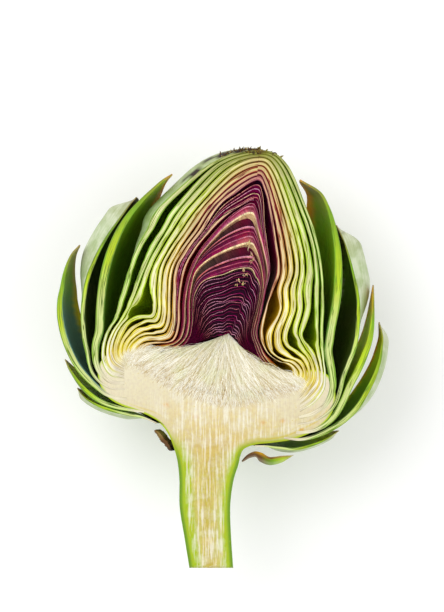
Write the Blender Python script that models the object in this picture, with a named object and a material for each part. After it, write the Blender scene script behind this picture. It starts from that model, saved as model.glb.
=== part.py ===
"""Half an artichoke, cut lengthwise and lying on its rounded back.

All design numbers are millimetres on the cut face: x to the right and y towards the tip.
World +Z is the outward normal of the cut face, and z = 0 is the surface it lies on.
Left and right sections of one layer are joined by half hoops that dip into the depth, so
the layers nest inside each other as they do in the bud.
"""

import math

import bmesh
import bpy
import numpy as np

MM = 0.001
CUT_HEIGHT = 49.8
REST_LEAF_THICKNESS = 1.3
SECTION_STEPS = 15
CLOSED_TURN_STEPS = 4
INNER_TURN_STEPS = 5
OUTER_SECTION_STEPS = 10
OUTER_TURN_STEPS = 3
BACK_TURN_STEPS = 4
REST_LEAF_SECTION_STEPS = 16
REST_LEAF_TURN_STEPS = 8
SOLID_TURN_STEPS = 8
CLOSED_TURN_DEG = 88.5
HALF_TURN_DEG = 180.0

# Cut-face sections of the closed layers, from the foot of the leaf to its tip.
# Layer 0 is outermost. Layers 0 to 8 are closed leaves, 9 to 18 arch over the choke.
LEFT_GUIDES = {
    0: [
        (-33.3, -16), (-37.7, -14.8), (-40.1, -11.2), (-40.5, -6.8), (-39.5, -2), (-37.9, 1),
        (-36.4, 3.4), (-35.3, 6.1), (-34.3, 9.2), (-33, 13.6), (-30.8, 20.4), (-28.2, 27.2),
        (-24.6, 34), (-19.4, 42.5), (-10.7, 51.5), (6.1, 61.2),
    ],
    1: [
        (-33.3, -13.9), (-37.1, -12.2), (-38.6, -9.2), (-38.7, -5.4), (-37.2, -1), (-35.7, 1.5),
        (-34, 3.9), (-32.5, 6.5), (-31.1, 9.5), (-29.6, 13.3), (-27.2, 20.4), (-24, 27.2),
        (-20.1, 34), (-14.6, 42.5), (-7, 51.7), (7.8, 61.1),
    ],
    2: [
        (-33.3, -12.9), (-36.4, -10.9), (-37.6, -8.2), (-37.6, -5.1), (-36.2, -1), (-34.5, 1.7),
        (-32.6, 4.1), (-31.3, 6.5), (-29.8, 9.5), (-27.9, 13.8), (-25.2, 20.4), (-21.9, 27.2),
        (-17.7, 34), (-11.9, 42.5), (-4.2, 51.5), (9.4, 61),
    ],
    3: [
        (-33.3, -11.7), (-35.7, -9.9), (-36.3, -7.5), (-35.9, -4.4), (-34.5, -1), (-32, 2.7),
        (-28.2, 5), (-24.3, 5.4), (-23.2, 8.8), (-23.4, 13.6), (-22.6, 20.4), (-19.4, 27.2),
        (-15.1, 34), (-8.7, 42.5), (-1.4, 51.3), (10.7, 60.3),
    ],
    7: [
        (-29.9, -7.5), (-30.4, -6.6), (-30.1, -5.6), (-28.9, -4.4), (-26.9, -3.3), (-24.1, -2.7),
        (-20.9, -2.9), (-17.9, -2), (-16.3, 2.7), (-15.9, 11.6), (-15.1, 20.4), (-11.6, 27.2),
        (-6.3, 34), (-1, 42.2), (5.8, 50.7), (11.9, 55.8),
    ],
    8: [
        (-27.9, -6.8), (-27.9, -6.1), (-27.4, -5.5), (-26.2, -4.9), (-24.3, -4.5), (-21.8, -4.4),
        (-19, -4.4), (-16.3, -3.1), (-14.8, 2.4), (-14.5, 10.9), (-12.8, 20.1), (-9.5, 27),
        (-3.9, 33.8), (1.2, 38.6), (6, 42), (10.5, 44.4),
    ],
    9: [
        (-22.1, -6), (-21.4, -5.8), (-20.6, -5.6), (-19.6, -5.4), (-18.4, -5.2), (-17, -4.8),
        (-15.5, -3.9), (-14.1, -2), (-13.1, 2.7), (-12.8, 10.2), (-10.9, 18.7), (-7.3, 26.2),
        (-1.7, 33.3), (2.2, 37.7), (5.8, 40.6), (9.5, 42.5),
    ],
    10: [
        (-19, -6.5), (-18.4, -6.3), (-17.7, -6.1), (-16.8, -5.9), (-16, -5.5), (-14.8, -4.9),
        (-13.4, -3.6), (-12.2, -1.5), (-11.4, 2.7), (-11.4, 9.5), (-10.7, 15.6), (-9, 21.4),
        (-4.8, 25.8), (0, 28.7), (4.8, 30.9), (9.5, 32.1),
    ],
    11: [
        (-16, -6.6), (-15.5, -6.5), (-15, -6.3), (-14.3, -6), (-13.5, -5.4), (-12.6, -4.6),
        (-11.6, -3.2), (-10.7, -1.2), (-10.2, 2.4), (-10.2, 6.5), (-9.9, 10.5), (-8.8, 14.3),
        (-5.8, 17.5), (-1.4, 19.4), (3.7, 21.1), (8.8, 21.9),
    ],
    18: [
        (-12.2, -6.1), (-11.9, -6), (-11.4, -5.8), (-10.9, -5.5), (-10.2, -5.2), (-9.4, -4.7),
        (-8.3, -4.1), (-7.3, -3.5), (-6.3, -2.9), (-5.3, -2.4), (-4.1, -1.9), (-2.9, -1.4),
        (-1.5, -0.9), (-0.2, -0.5), (1, -0.3), (2.3, -0.2),
    ],
}

RIGHT_GUIDES = {
    0: [
        (26.5, -27.5), (31.3, -24.3), (34.5, -19.9), (35, -15.1), (34.5, -10.9), (34.3, -8.2),
        (34, -5.8), (33.9, -3.1), (33.8, 0.7), (34.1, 6.8), (34, 13.6), (33.7, 20.4),
        (32.3, 28.9), (29.2, 39.1), (24.3, 50), (17.2, 60.4),
    ],
    1: [
        (26.5, -26.2), (30.6, -23), (33.5, -19), (33.9, -14.8), (33.5, -11.2), (32.9, -8.5),
        (32.4, -6.1), (32.1, -3.4), (32, 0), (32, 6.8), (32.3, 13.6), (32.3, 20.4),
        (30.8, 28.9), (27.7, 39.1), (23, 50), (15.8, 60.7),
    ],
    2: [
        (26.5, -24.5), (29.6, -21.4), (32.1, -18), (32.6, -14.3), (31.8, -10.9), (30.6, -8.2),
        (29.2, -5.8), (28.1, -3.4), (27.5, -0.3), (29.4, 6.5), (29.1, 13.6), (29.8, 20.4),
        (28.6, 28.9), (25.5, 39.1), (21.2, 49.6), (14.6, 60.6),
    ],
    3: [
        (26.5, -23.1), (28.7, -20.4), (30.9, -17), (31.1, -13.8), (30.3, -10.5), (28.9, -8.2),
        (27.3, -6.1), (25.8, -3.7), (24.7, -0.3), (26.5, 6.8), (26.4, 13.6), (27.4, 20.4),
        (26.5, 28.9), (23.5, 39.1), (19.2, 49.3), (13.5, 59.9),
    ],
    6: [
        (25.5, -18.5), (26.4, -17), (26.9, -15.3), (26.7, -13.6), (25.5, -12.1), (23.6, -10.7),
        (20.6, -9.9), (16.5, -7), (16, -1.4), (19.4, 6.8), (19.4, 13.6), (21.4, 20.4),
        (20.4, 28.9), (18.2, 39.4), (15.3, 48.3), (12.9, 55.6),
    ],
    7: [
        (24.5, -17.2), (25.2, -16.2), (25.3, -15), (25, -13.8), (24, -12.6), (22.3, -11.6),
        (19.6, -10.9), (15.1, -7.3), (13, -1), (15, 7.5), (16.8, 13.6), (18.7, 20.4),
        (18, 28.9), (16.3, 39.4), (14.3, 47.6), (12.6, 53.4),
    ],
    8: [
        (21.2, -14.6), (21.4, -13.9), (21.2, -13.2), (20.7, -12.4), (19.9, -11.5), (18.7, -10.5),
        (17, -9.6), (14.4, -6.7), (12.4, -1), (14.1, 7.1), (15.6, 13.6), (17.2, 20.7),
        (16, 28.9), (13.9, 38.1), (12.6, 42.5), (11.1, 44.3),
    ],
    9: [
        (18, -11.9), (17.5, -11.7), (17, -11.4), (16.4, -11), (15.8, -10.4), (15.1, -9.5),
        (14.3, -8.3), (13.4, -6.1), (11.7, -1), (13.3, 6.8), (14.5, 13.6), (15.8, 21.1),
        (14.3, 28.9), (12.4, 36), (11.4, 40.5), (9.9, 42.5),
    ],
    10: [
        (16.8, -12.1), (16.3, -11.8), (15.8, -11.6), (15.3, -11.2), (14.7, -10.5), (14, -9.5),
        (13.3, -8.2), (12.4, -5.8), (10.9, -1), (12.1, 4.8), (13.3, 10.2), (14.3, 15.6),
        (13.8, 21.8), (12.6, 26.9), (11.4, 30.3), (9.9, 32),
    ],
    11: [
        (15.6, -12.1), (15.2, -11.8), (14.8, -11.6), (14.3, -11.1), (13.7, -10.4), (13, -9.3),
        (12.2, -7.8), (11.4, -5.4), (10.2, -1.4), (10.9, 3.1), (12.1, 7.5), (13.1, 12.2),
        (13.1, 15.6), (12.4, 18.4), (11.1, 20.7), (9.2, 21.9),
    ],
    18: [
        (11.6, -10.9), (11.2, -10.5), (10.7, -10.2), (10.2, -9.7), (9.6, -9.1), (9, -8.3),
        (8.3, -7.5), (7.6, -6.5), (6.8, -5.4), (6.1, -4.6), (5.4, -3.7), (4.8, -2.9),
        (4.2, -2), (3.6, -1.3), (3.1, -0.7), (2.6, -0.3),
    ],
}

RING_SECTIONS = {
    "left_1": [
        (-33.2, -18.2), (-37.7, -17.6), (-41, -15), (-42.7, -11.4), (-43.1, -7.8), (-42.8, -4.4),
        (-41.7, 0), (-41.4, 6.8), (-40.8, 13.6), (-39.6, 20.4), (-37.6, 27.2), (-34.7, 34),
        (-31.3, 39.4), (-27.5, 43.9), (-23.8, 47.6), (-20.4, 50.7), (-16.9, 52.9),
    ],
    "right_1": [
        (26.2, -29.8), (31.3, -28.2), (35.4, -25), (37.6, -20.1), (37.4, -15), (36.7, -10.9),
        (36.1, -7.1), (36.6, -3.4), (37.2, 0.7), (38.4, 6.8), (39.3, 12.9), (39.6, 20.4),
        (39.3, 26.5), (37.9, 32), (36.2, 36.7), (34.2, 41.5), (30.9, 46.6), (26.5, 51),
    ],
    "left_2": [
        (-33, -20.1), (-37.4, -19.9), (-41.1, -18), (-43.8, -15), (-45.1, -11.2), (-45.7, -7.7),
        (-46.6, -3.7), (-47.1, 0.7), (-47.3, 6.8), (-46.6, 12.9), (-45.4, 18.4), (-43.7, 22.8),
        (-41.5, 27.5), (-38.9, 32), (-36.2, 35.9), (-33.7, 39.4), (-31.3, 42.7), (-29.1, 45.2),
    ],
    "right_2": [
        (25.8, -32), (30.9, -31.1), (35.4, -28.7), (38.4, -25.2), (40.1, -20.7), (41.1, -16.3),
        (42.8, -11.9), (44.5, -7.5), (45.7, -2.7), (46.2, 2.7), (46.4, 8.5), (45.9, 13.6),
        (44.7, 19), (43.4, 24.1), (41.7, 29.6), (40.1, 33.3), (38.9, 35.7),
    ],
    "left_3": [
        (-32.3, -23.5), (-36, -23.1), (-39.4, -21.8), (-42.5, -19.4), (-45.4, -16.7), (-48, -13.8),
        (-50.2, -10.5), (-52, -6.8), (-53.3, -3.4), (-54.4, 0.7), (-55.1, 5.4), (-55.1, 10.2),
        (-54.4, 14.3), (-53.7, 18.7), (-52.5, 22.8), (-50.8, 26.2), (-48.3, 28.9),
    ],
    "right_3": [
        (25.2, -34.9), (30.3, -34.4), (35, -32.3), (38.6, -28.7), (41.3, -24), (43.5, -19),
        (45.9, -14.5), (48.3, -9.2), (50.4, -3.1), (51.3, 3.4), (51.5, 10.2), (51.4, 15.3),
    ],
    "left_4": [
        (-26.5, -27.9), (-30.9, -27.2), (-35, -26.4), (-39.1, -25.2), (-42.8, -23.3), (-45.9, -20.9),
        (-48.5, -18.2), (-50.7, -15.1), (-52.4, -12.2), (-53.4, -10),
    ],
    "right_4": [
        (21.1, -36.7), (26.5, -37.2), (31.3, -36.2), (36, -34.2), (41.3, -30.9), (45.9, -26.4),
        (49.1, -21.4), (51.7, -16.3), (53.6, -10.9), (54.4, -6.1), (54.6, -2), (53.4, 2.7),
    ],
    "left_5": [
        (-22.4, -31.6), (-27.2, -29.6), (-32.3, -28.6), (-37.4, -27.4), (-42.2, -25.7), (-45.6, -23.8),
        (-47.8, -21.8), (-49.3, -19.7),
    ],
    "right_5": [
        (11.2, -39.4), (15, -39.5), (19.7, -40.1), (24.8, -40.5), (29.9, -39.4), (35, -37.4),
        (39.8, -34.3),
    ],
}

HEART_TOP_LEFT = [
    (1.4, -24.7), (-5.4, -23.9), (-12.1, -21.6), (-18.5, -18.2), (-22.4, -15.6), (-26, -12.8),
    (-28.2, -10.7),
]
HEART_TOP_RIGHT = [
    (1.4, -24.7), (8.2, -24.5), (13.8, -23.8), (18.4, -22.6), (21.2, -21.2), (22.6, -20.2),
    (23.5, -19.6),
]
HEART_SIDE_LEFT = [
    (-29.9, -11.6), (-31.1, -13.9), (-31.6, -17), (-31.3, -20.1), (-29.9, -23.1), (-25.5, -26.5),
    (-20.7, -30.6), (-17.9, -35), (-16, -39.4), (-14.9, -44.2), (-14.3, -51), (-14.3, -60.2),
    (-12.7, -70.4), (-11.1, -80.9), (-3.7, -80.9),
]
HEART_SIDE_RIGHT = [
    (24.3, -20.4), (25, -22.4), (25.2, -25.5), (24.8, -28.9), (23.5, -32), (19.4, -34.5),
    (13.6, -36.4), (8.8, -38.4), (6.3, -41.1), (5.6, -44.9), (3.6, -51.7), (2.7, -60.2),
    (3.1, -70.4), (3.8, -80.9), (-3.7, -80.9),
]
CHOKE_TOP_LEFT = [
    (2, -2), (-0.3, -2.7), (-2.7, -3.6), (-5.4, -4.8), (-8.2, -5.9), (-10.9, -6.8),
    (-13.6, -7.3), (-17, -7.4), (-20.1, -7.1), (-22.4, -7.1), (-24.5, -7.8), (-25.8, -9),
]
CHOKE_TOP_RIGHT = [
    (2, -2), (3.1, -3.7), (4.2, -5.4), (5.8, -7.3), (7.5, -9), (9.5, -10.7),
    (11.9, -12.2), (15, -13.4), (18, -14), (20.4, -14.6), (22.1, -15.7), (22.8, -17),
]
CHOKE_LOW_LEFT = [
    (-25.8, -10.7), (-22.1, -14.8), (-18, -17.6), (-11.9, -20.8), (-5.4, -23.2), (1.4, -24.1),
]
CHOKE_LOW_RIGHT = [
    (22.6, -18.7), (20.9, -20.3), (18.2, -21.9), (13.6, -23.1), (8.2, -23.9), (1.4, -24.1),
]
STEM_SCALE_LEFT = [
    (-17.2, -41.1), (-19, -38.8), (-21.1, -36.2), (-22.8, -34),
]
STEM_SCALE_RIGHT_RIM = [
    (6.6, -44.5), (8.5, -42.5), (11.1, -41.3), (13.6, -41.8), (16.3, -43.2), (20.3, -42.8),
    (24.4, -42.6),
]
STEM_SCALE_RIGHT_LIP = [
    (7, -45.1), (9.5, -43.7), (11.6, -43.4), (12.9, -44.9), (16.3, -46.1), (20.4, -45.2),
    (24.2, -42.9),
]
# Layers that each closed leaf spans where it is cut: outer face, inner face, inner face
# at the tip.
LEFT_LEAF_LAYERS = [
    (-0.3, 0.3, 0.3), (0.74, 1.42, 1.42), (1.56, 2.34, 2.34), (2.52, 3.6, 3.5),
    (3.72, 4.42, 4.42), (4.54, 5.5, 5.5), (5.62, 6.2, 6.2), (6.34, 7.5, 7.05),
    (7.72, 8.25, 8.1),
]
RIGHT_LEAF_LAYERS = [
    (-0.34, 0.32, 0.32), (0.55, 1.3, 1.3), (1.5, 2.5, 2.5), (2.64, 3.42, 3.42),
    (3.56, 4.42, 4.42), (4.56, 5.44, 5.44), (5.6, 6.42, 6.42), (6.6, 7.3, 7.05),
]
INNER_LEAF_HALF_LAYER = 0.33
FIRST_INNER_LAYER = 9
LAST_INNER_LAYER = 18

# Closed leaves. A span is a pair: the station where a change begins, and how long it takes.
TIP_INNER_FACE_SPAN = (0.55, 0.15)
TIP_NARROWING = 0.5
TIP_NARROWING_SPAN = (0.72, 0.28)
MARGIN_THINNING = 0.35
CROWN_BULGE = 4.0
CROWN_BULGE_SPAN = (0.7, 0.15)
CROWN_BULGE_FADE = 0.08
BULGE_SKEW = 0.7
BULGE_POWER = 1.2

# Outer leaves.
BASE_WIDTH_SHARE = 0.8
BASE_WIDTH_SPAN = (0.0, 0.3)
TIP_WIDTH_START = 0.5
TIP_WIDTH_SHARE = 0.03
BASE_THICKNESS_SHARE = 0.4
BASE_THICKNESS_SPAN = (0.0, 0.3)
TIP_THICKNESS_LOSS = 0.8
TIP_THICKNESS_SPAN = (0.55, 0.45)
OUTER_MARGIN_THINNING = 0.6
OUTER_BULGE_LENGTH = 0.25
OUTER_BULGE_FADE = 0.12
BUD_MIDDLE_Y = 5.0

# The two dry leaves on the stem.
SCALE_LEFT_DEPTHS = (0.0, 2.5, 5.0)
SCALE_LEFT_LEAN = (0.0, 0.5, 1.6)
SCALE_LEFT_HALF_THICKNESS = 0.45
SCALE_LEFT_HALF_DEPTH = 0.35
SCALE_RIGHT_SAG = 3.0
SCALE_RIGHT_THICKNESS = 0.6

# Each ring of outer leaves: depth scale, then (name, side or centre angle, half width in
# degrees, greatest thickness, outward bulge, station where the bulge begins). Angles run
# from 0 at the right cut edge.
RINGS = {
    1: (1.0, [
        ("outer_leaf_left_1", "left", 56, 2.9, 0.0, 0.0),
        ("outer_leaf_right_1", "right", 56, 2.8, 0.0, 0.0),
        ("back_leaf_1", 90, 27, 2.2, 0.0, 0.0),
    ]),
    2: (0.98, [
        ("outer_leaf_left_2", "left", 36, 1.5, 5.5, 0.45),
        ("outer_leaf_right_2", "right", 36, 1.5, 5.5, 0.5),
        ("back_leaf_2", 64, 22, 2.0, 0.0, 0.0),
        ("back_leaf_3", 116, 22, 2.0, 0.0, 0.0),
    ]),
    3: (0.96, [
        ("outer_leaf_left_3", "left", 30, 2.2, 0.0, 0.0),
        ("outer_leaf_right_3", "right", 22, 2.2, 0.0, 0.0),
        ("back_leaf_4", 45, 18, 2.0, 0.0, 0.0),
        ("back_leaf_5", 90, 23, 2.4, 0.0, 0.0),
        ("back_leaf_6", 132, 16, 2.0, 0.0, 0.0),
    ]),
    4: (0.94, [
        ("outer_leaf_left_4", "left", 26, 1.5, 0.5, 0.3),
        ("outer_leaf_right_4", "right", 24, 1.8, 4.0, 0.35),
        ("back_leaf_7", 50, 20, 1.8, 0.0, 0.0),
        ("back_leaf_8", 129, 20, 1.8, 0.0, 0.0),
    ]),
    5: (0.95, [
        ("outer_leaf_left_5", "left", 40, 1.0, 3.0, 0.1),
        ("outer_leaf_right_5", "right", 40, 0.9, 2.5, 0.1),
        ("back_leaf_9", 92, 30, 1.5, 0.0, 0.0),
    ]),
}
REST_LEAF = "back_leaf_5"

MATERIALS = {
    "outer_green": ((0.16, 0.3, 0.07, 1.0), 0.55, 0.0),
    "leaf_green": ((0.42, 0.55, 0.16, 1.0), 0.5, 0.0),
    "leaf_cream": ((0.8, 0.72, 0.34, 1.0), 0.5, 0.0),
    "leaf_purple": ((0.3, 0.05, 0.14, 1.0), 0.45, 0.0),
    "heart": ((0.86, 0.75, 0.55, 1.0), 0.5, 0.0),
    "choke": ((0.85, 0.8, 0.58, 1.0), 0.8, 0.0),
    "dry_scale": ((0.3, 0.2, 0.09, 1.0), 0.7, 0.0),
}


def clear_scene():
    for obj in list(bpy.data.objects):
        bpy.data.objects.remove(obj, do_unlink=True)


def make_material(name):
    """One plain Principled material of a slot."""
    colour, roughness, metallic = MATERIALS[name]
    material = bpy.data.materials.new(name)
    material.use_nodes = True
    shader = material.node_tree.nodes["Principled BSDF"]
    shader.inputs["Base Color"].default_value = colour
    shader.inputs["Roughness"].default_value = roughness
    shader.inputs["Metallic"].default_value = metallic
    material.diffuse_color = colour
    return material


def smooth_curve(points, steps):
    """steps + 1 points of a Catmull-Rom curve through points, evenly spaced by station."""
    known = np.asarray(points, float)
    before = 2 * known[0] - known[1]
    after = 2 * known[-1] - known[-2]
    padded = np.vstack([before, known, after])
    at = np.linspace(0, len(known) - 1, steps + 1)
    index = np.minimum(at.astype(int), len(known) - 2)
    f = (at - index)[:, None]
    p0, p1, p2, p3 = (padded[index + shift] for shift in range(4))
    bend = 2 * p0 - 5 * p1 + 4 * p2 - p3
    swing = 3 * p1 - p0 - 3 * p2 + p3
    return 0.5 * (2 * p1 + (p2 - p0) * f + bend * f**2 + swing * f**3)


def even_curve(points, steps):
    """steps + 1 points of the same curve, evenly spaced by length."""
    fine = smooth_curve(points, 20 * len(points))
    along = np.append(0, np.cumsum(np.linalg.norm(np.diff(fine, axis=0), axis=1)))
    at = np.linspace(0, along[-1], steps + 1)
    return np.column_stack([np.interp(at, along, fine[:, k]) for k in range(2)])


def layer_section(guides, layer):
    """The section of any layer, by straight interpolation between the guide layers."""
    keys = sorted(guides)
    upper = min(max(np.searchsorted(keys, layer), 1), len(keys) - 1)
    low, high = keys[upper - 1], keys[upper]
    share = (layer - low) / (high - low)
    first = np.asarray(guides[low], float)
    second = np.asarray(guides[high], float)
    return smooth_curve(first + (second - first) * share, SECTION_STEPS)


def hoop(left, right, angle, depth_scale=1.0):
    """Points on the half circles that join matching left and right section points."""
    middle = (left + right) / 2
    reach = (right - left) / 2
    flat = middle + reach * np.cos(angle)[..., None]
    depth = reach[..., 0] * np.sin(angle) * depth_scale
    return np.dstack([flat[..., 0], flat[..., 1], CUT_HEIGHT - depth])


def smooth_step(value, span=(0.0, 1.0)):
    """0 before the span, 1 after it, and a smooth rise between."""
    begin, length = span
    share = np.clip((value - begin) / length, 0, 1)
    return share * share * (3 - 2 * share)


def layer_surface(layers, angle):
    """Hoops for a grid of layer numbers and angles, one section station per row."""
    rows, columns = layers.shape
    left = np.empty((rows, columns, 2))
    right = np.empty((rows, columns, 2))
    for row, column in np.ndindex(rows, columns):
        left[row, column] = layer_section(LEFT_GUIDES, layers[row, column])[row]
        right[row, column] = layer_section(RIGHT_GUIDES, layers[row, column])[row]
    return hoop(left, right, angle)


def leaf_from_faces(name, outer, inner, slot):
    """A closed leaf between two matching grids of points, with its four rims filled."""
    rows, columns = outer.shape[:2]
    vertices = np.concatenate([outer.reshape(-1, 3), inner.reshape(-1, 3)])
    ids = np.arange(rows * columns).reshape(rows, columns)
    quads = [quad_strip(ids), quad_strip(ids + rows * columns)[:, ::-1]]
    loop = np.concatenate([ids[0, :-1], ids[:-1, -1], ids[-1, :0:-1], ids[:0:-1, 0]])
    ahead = np.roll(loop, -1)
    other = rows * columns
    quads.append(np.column_stack([ahead, loop, loop + other, ahead + other]))
    return add_object(name, vertices, np.concatenate(quads).tolist(), slot)


def quad_strip(ids):
    """Quads over a grid of vertex numbers."""
    corners = [ids[:-1, :-1], ids[:-1, 1:], ids[1:, 1:], ids[1:, :-1]]
    return np.column_stack([corner.ravel() for corner in corners])


def add_object(name, vertices, faces, slot):
    """A named, closed, smooth-shaded mesh object with outward faces."""
    mesh = bpy.data.meshes.new(name)
    mesh.from_pydata((np.asarray(vertices) * MM).tolist(), [], faces)
    work = bmesh.new()
    work.from_mesh(mesh)
    bmesh.ops.triangulate(work, faces=[f for f in work.faces if len(f.verts) > 4])
    bmesh.ops.recalc_face_normals(work, faces=work.faces)
    work.to_mesh(mesh)
    work.free()
    mesh.shade_smooth()
    obj = bpy.data.objects.new(name, mesh)
    bpy.context.scene.collection.objects.link(obj)
    mesh.materials.append(bpy.data.materials[slot])
    return obj


def closed_leaf(name, side, bounds, slot, bulge=0.0):
    """One leaf of the closed bud: full thickness where cut, thinner round the back."""
    t = np.linspace(0, 1, SECTION_STEPS + 1)
    u = np.linspace(0, 1, CLOSED_TURN_STEPS + 1)
    turn = np.radians(CLOSED_TURN_DEG) * u[None, :] * tip_taper(t)[:, None]
    angle = math.pi - turn if side == "left" else turn
    low, high, tip_high = bounds
    high = high + (tip_high - high) * smooth_step(t, TIP_INNER_FACE_SPAN)
    middle = (low + high)[:, None] / 2
    half = (high - low)[:, None] / 2 * (1 - MARGIN_THINNING * u[None, :] ** 2)
    outer = layer_surface(middle - half, angle)
    inner = layer_surface(middle + half, angle)
    if bulge:
        away = outer - inner
        away /= np.linalg.norm(away, axis=2)[..., None]
        push = bulge * crown_window(t)[:, None] * bump(u)[None, :]
        outer = outer + away * push[..., None]
        inner = inner + away * push[..., None]
    return leaf_from_faces(name, outer, inner, slot)


def tip_taper(t):
    """Width of a closed leaf: full for most of its length, narrower at the tip."""
    return 1 - TIP_NARROWING * smooth_step(t, TIP_NARROWING_SPAN)


def crown_window(t):
    """Where the outermost left leaf swells: its upper third, fading out at the tip."""
    return smooth_step(t, CROWN_BULGE_SPAN) * smooth_step(1 - t, (0.0, CROWN_BULGE_FADE))


def bump(u):
    """Bulge across a leaf: none at its cut edge or margin, most a third of the way in."""
    return np.sin(math.pi * np.clip(u, 0, 1) ** BULGE_SKEW) ** BULGE_POWER


def inner_leaf(name, layer, slot):
    """A thin arched leaf over the choke, from the left cut edge round to the right one."""
    t = np.linspace(0, 1, SECTION_STEPS + 1)
    angle = np.tile(np.radians(np.linspace(0, HALF_TURN_DEG, INNER_TURN_STEPS + 1)), (len(t), 1))
    faces = []
    for edge in (layer - INNER_LEAF_HALF_LAYER, layer + INNER_LEAF_HALF_LAYER):
        faces.append(layer_surface(np.full(angle.shape, edge), angle))
    return leaf_from_faces(name, faces[0], faces[1], slot)


def leaf_width(t):
    """Share of the full width along an outer leaf: broad below, pointed at the tip."""
    spread = BASE_WIDTH_SHARE + (1 - BASE_WIDTH_SHARE) * smooth_step(t, BASE_WIDTH_SPAN)
    point = np.sqrt(np.clip((1 - t) / (1 - TIP_WIDTH_START), 0.0, 1.0))
    return spread * point + TIP_WIDTH_SHARE


def leaf_thickness(t):
    """Share of the full thickness along an outer leaf: thin foot, full middle, thin tip."""
    foot = BASE_THICKNESS_SHARE
    foot = foot + (1 - foot) * smooth_step(t, BASE_THICKNESS_SPAN)
    return foot - TIP_THICKNESS_LOSS * smooth_step(t, TIP_THICKNESS_SPAN)


def outward_normals(points):
    """Unit normals of a grid of points, pointing away from the bud's middle."""
    along = np.gradient(points, axis=0)
    across = np.gradient(points, axis=1)
    normal = np.cross(along, across)
    normal /= np.linalg.norm(normal, axis=2)[..., None]
    middle = np.array([0.0, BUD_MIDDLE_Y, CUT_HEIGHT])
    facing = np.sum(normal * (points - middle), axis=2)
    return normal * (1.0 if facing.sum() > 0 else -1.0)


def flatten_at_cut(vectors, cut):
    """Keeps the normals of a cut row inside the cut plane."""
    if cut:
        vectors[:, 0, 2] = 0
        vectors[:, 0] /= np.linalg.norm(vectors[:, 0], axis=1)[:, None]
    return vectors


def outer_leaf(ring, depth_scale, leaf, slot):
    """One spread leaf of an outer ring, cut at its side or whole under the back."""
    name, place, half_width, thickness, bulge, bulge_from = leaf
    steps, turn_steps = OUTER_SECTION_STEPS, BACK_TURN_STEPS
    if name == REST_LEAF:
        steps, turn_steps = REST_LEAF_SECTION_STEPS, REST_LEAF_TURN_STEPS
    t = np.linspace(0, 1, steps + 1)
    left = even_curve(RING_SECTIONS[f"left_{ring}"], steps)
    right = even_curve(RING_SECTIONS[f"right_{ring}"], steps)
    cut = place in ("left", "right")
    if cut:
        u = np.linspace(0, 1, OUTER_TURN_STEPS + 1)
    else:
        u = np.linspace(-1, 1, turn_steps + 1)
    turn = np.radians(half_width) * leaf_width(t)[:, None] * u[None, :]
    start = {"left": math.pi, "right": 0.0}.get(place)
    if place == "left":
        angle = start - turn
    else:
        angle = turn if cut else math.radians(place) + turn
    shape = angle.shape + (2,)
    left = np.broadcast_to(left[:, None], shape)
    right = np.broadcast_to(right[:, None], shape)
    middle = hoop(left, right, angle, depth_scale)
    normal = flatten_at_cut(outward_normals(middle), cut)
    if bulge:
        window = smooth_step(t, (bulge_from, OUTER_BULGE_LENGTH))
        window = window * smooth_step(1 - t, (0.0, OUTER_BULGE_FADE))
        middle = middle + normal * (bulge * window[:, None] * bump(u))[..., None]
        normal = flatten_at_cut(outward_normals(middle), cut)
    half = thickness / 2 * (leaf_thickness(t)[:, None] * (1 - OUTER_MARGIN_THINNING * u**2))[..., None]
    outer = middle + normal * half
    inner = middle - normal * half
    if name == REST_LEAF:
        outer[..., 2] = np.maximum(outer[..., 2], 0)
        inner[..., 2] = np.maximum(inner[..., 2], REST_LEAF_THICKNESS)
    return leaf_from_faces(name, outer, inner, slot)


def turned_half(name, left, right, slot):
    """A solid of half hoops between two outlines that meet at both ends, flat on top."""
    left = np.asarray(left, float)
    right = np.asarray(right, float)
    rings = len(left) - 2
    angles = np.linspace(0, math.pi, SOLID_TURN_STEPS + 1)
    vertices = [(*left[0], CUT_HEIGHT)]
    for l_point, r_point in zip(left[1:-1], right[1:-1]):
        shape = (1, len(angles), 2)
        l_row, r_row = np.broadcast_to(l_point, shape), np.broadcast_to(r_point, shape)
        ring = hoop(l_row, r_row, angles[None, :])
        vertices.extend(map(tuple, ring[0]))
    vertices.append((*left[-1], CUT_HEIGHT))
    count = len(angles)
    ids = 1 + np.arange(rings * count).reshape(rings, count)
    faces = quad_strip(ids).tolist()
    last = len(vertices) - 1
    for k in range(count - 1):
        faces.append([0, int(ids[0, k]), int(ids[0, k + 1])])
        faces.append([last, int(ids[-1, k + 1]), int(ids[-1, k])])
    outline = [0, *ids[:, 0].tolist(), last, *ids[::-1, -1].tolist()]
    faces.append(outline)
    return add_object(name, vertices, faces, slot)


def heart_and_stem():
    """The fleshy heart with its stem, one grown piece."""
    turned_half(
        "heart_and_stem", HEART_TOP_LEFT + HEART_SIDE_LEFT, HEART_TOP_RIGHT + HEART_SIDE_RIGHT, "heart"
    )


def choke():
    """The bed of hairs between the heart and the inner leaves."""
    turned_half("choke", CHOKE_TOP_LEFT + CHOKE_LOW_LEFT, CHOKE_TOP_RIGHT + CHOKE_LOW_RIGHT, "choke")


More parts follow.
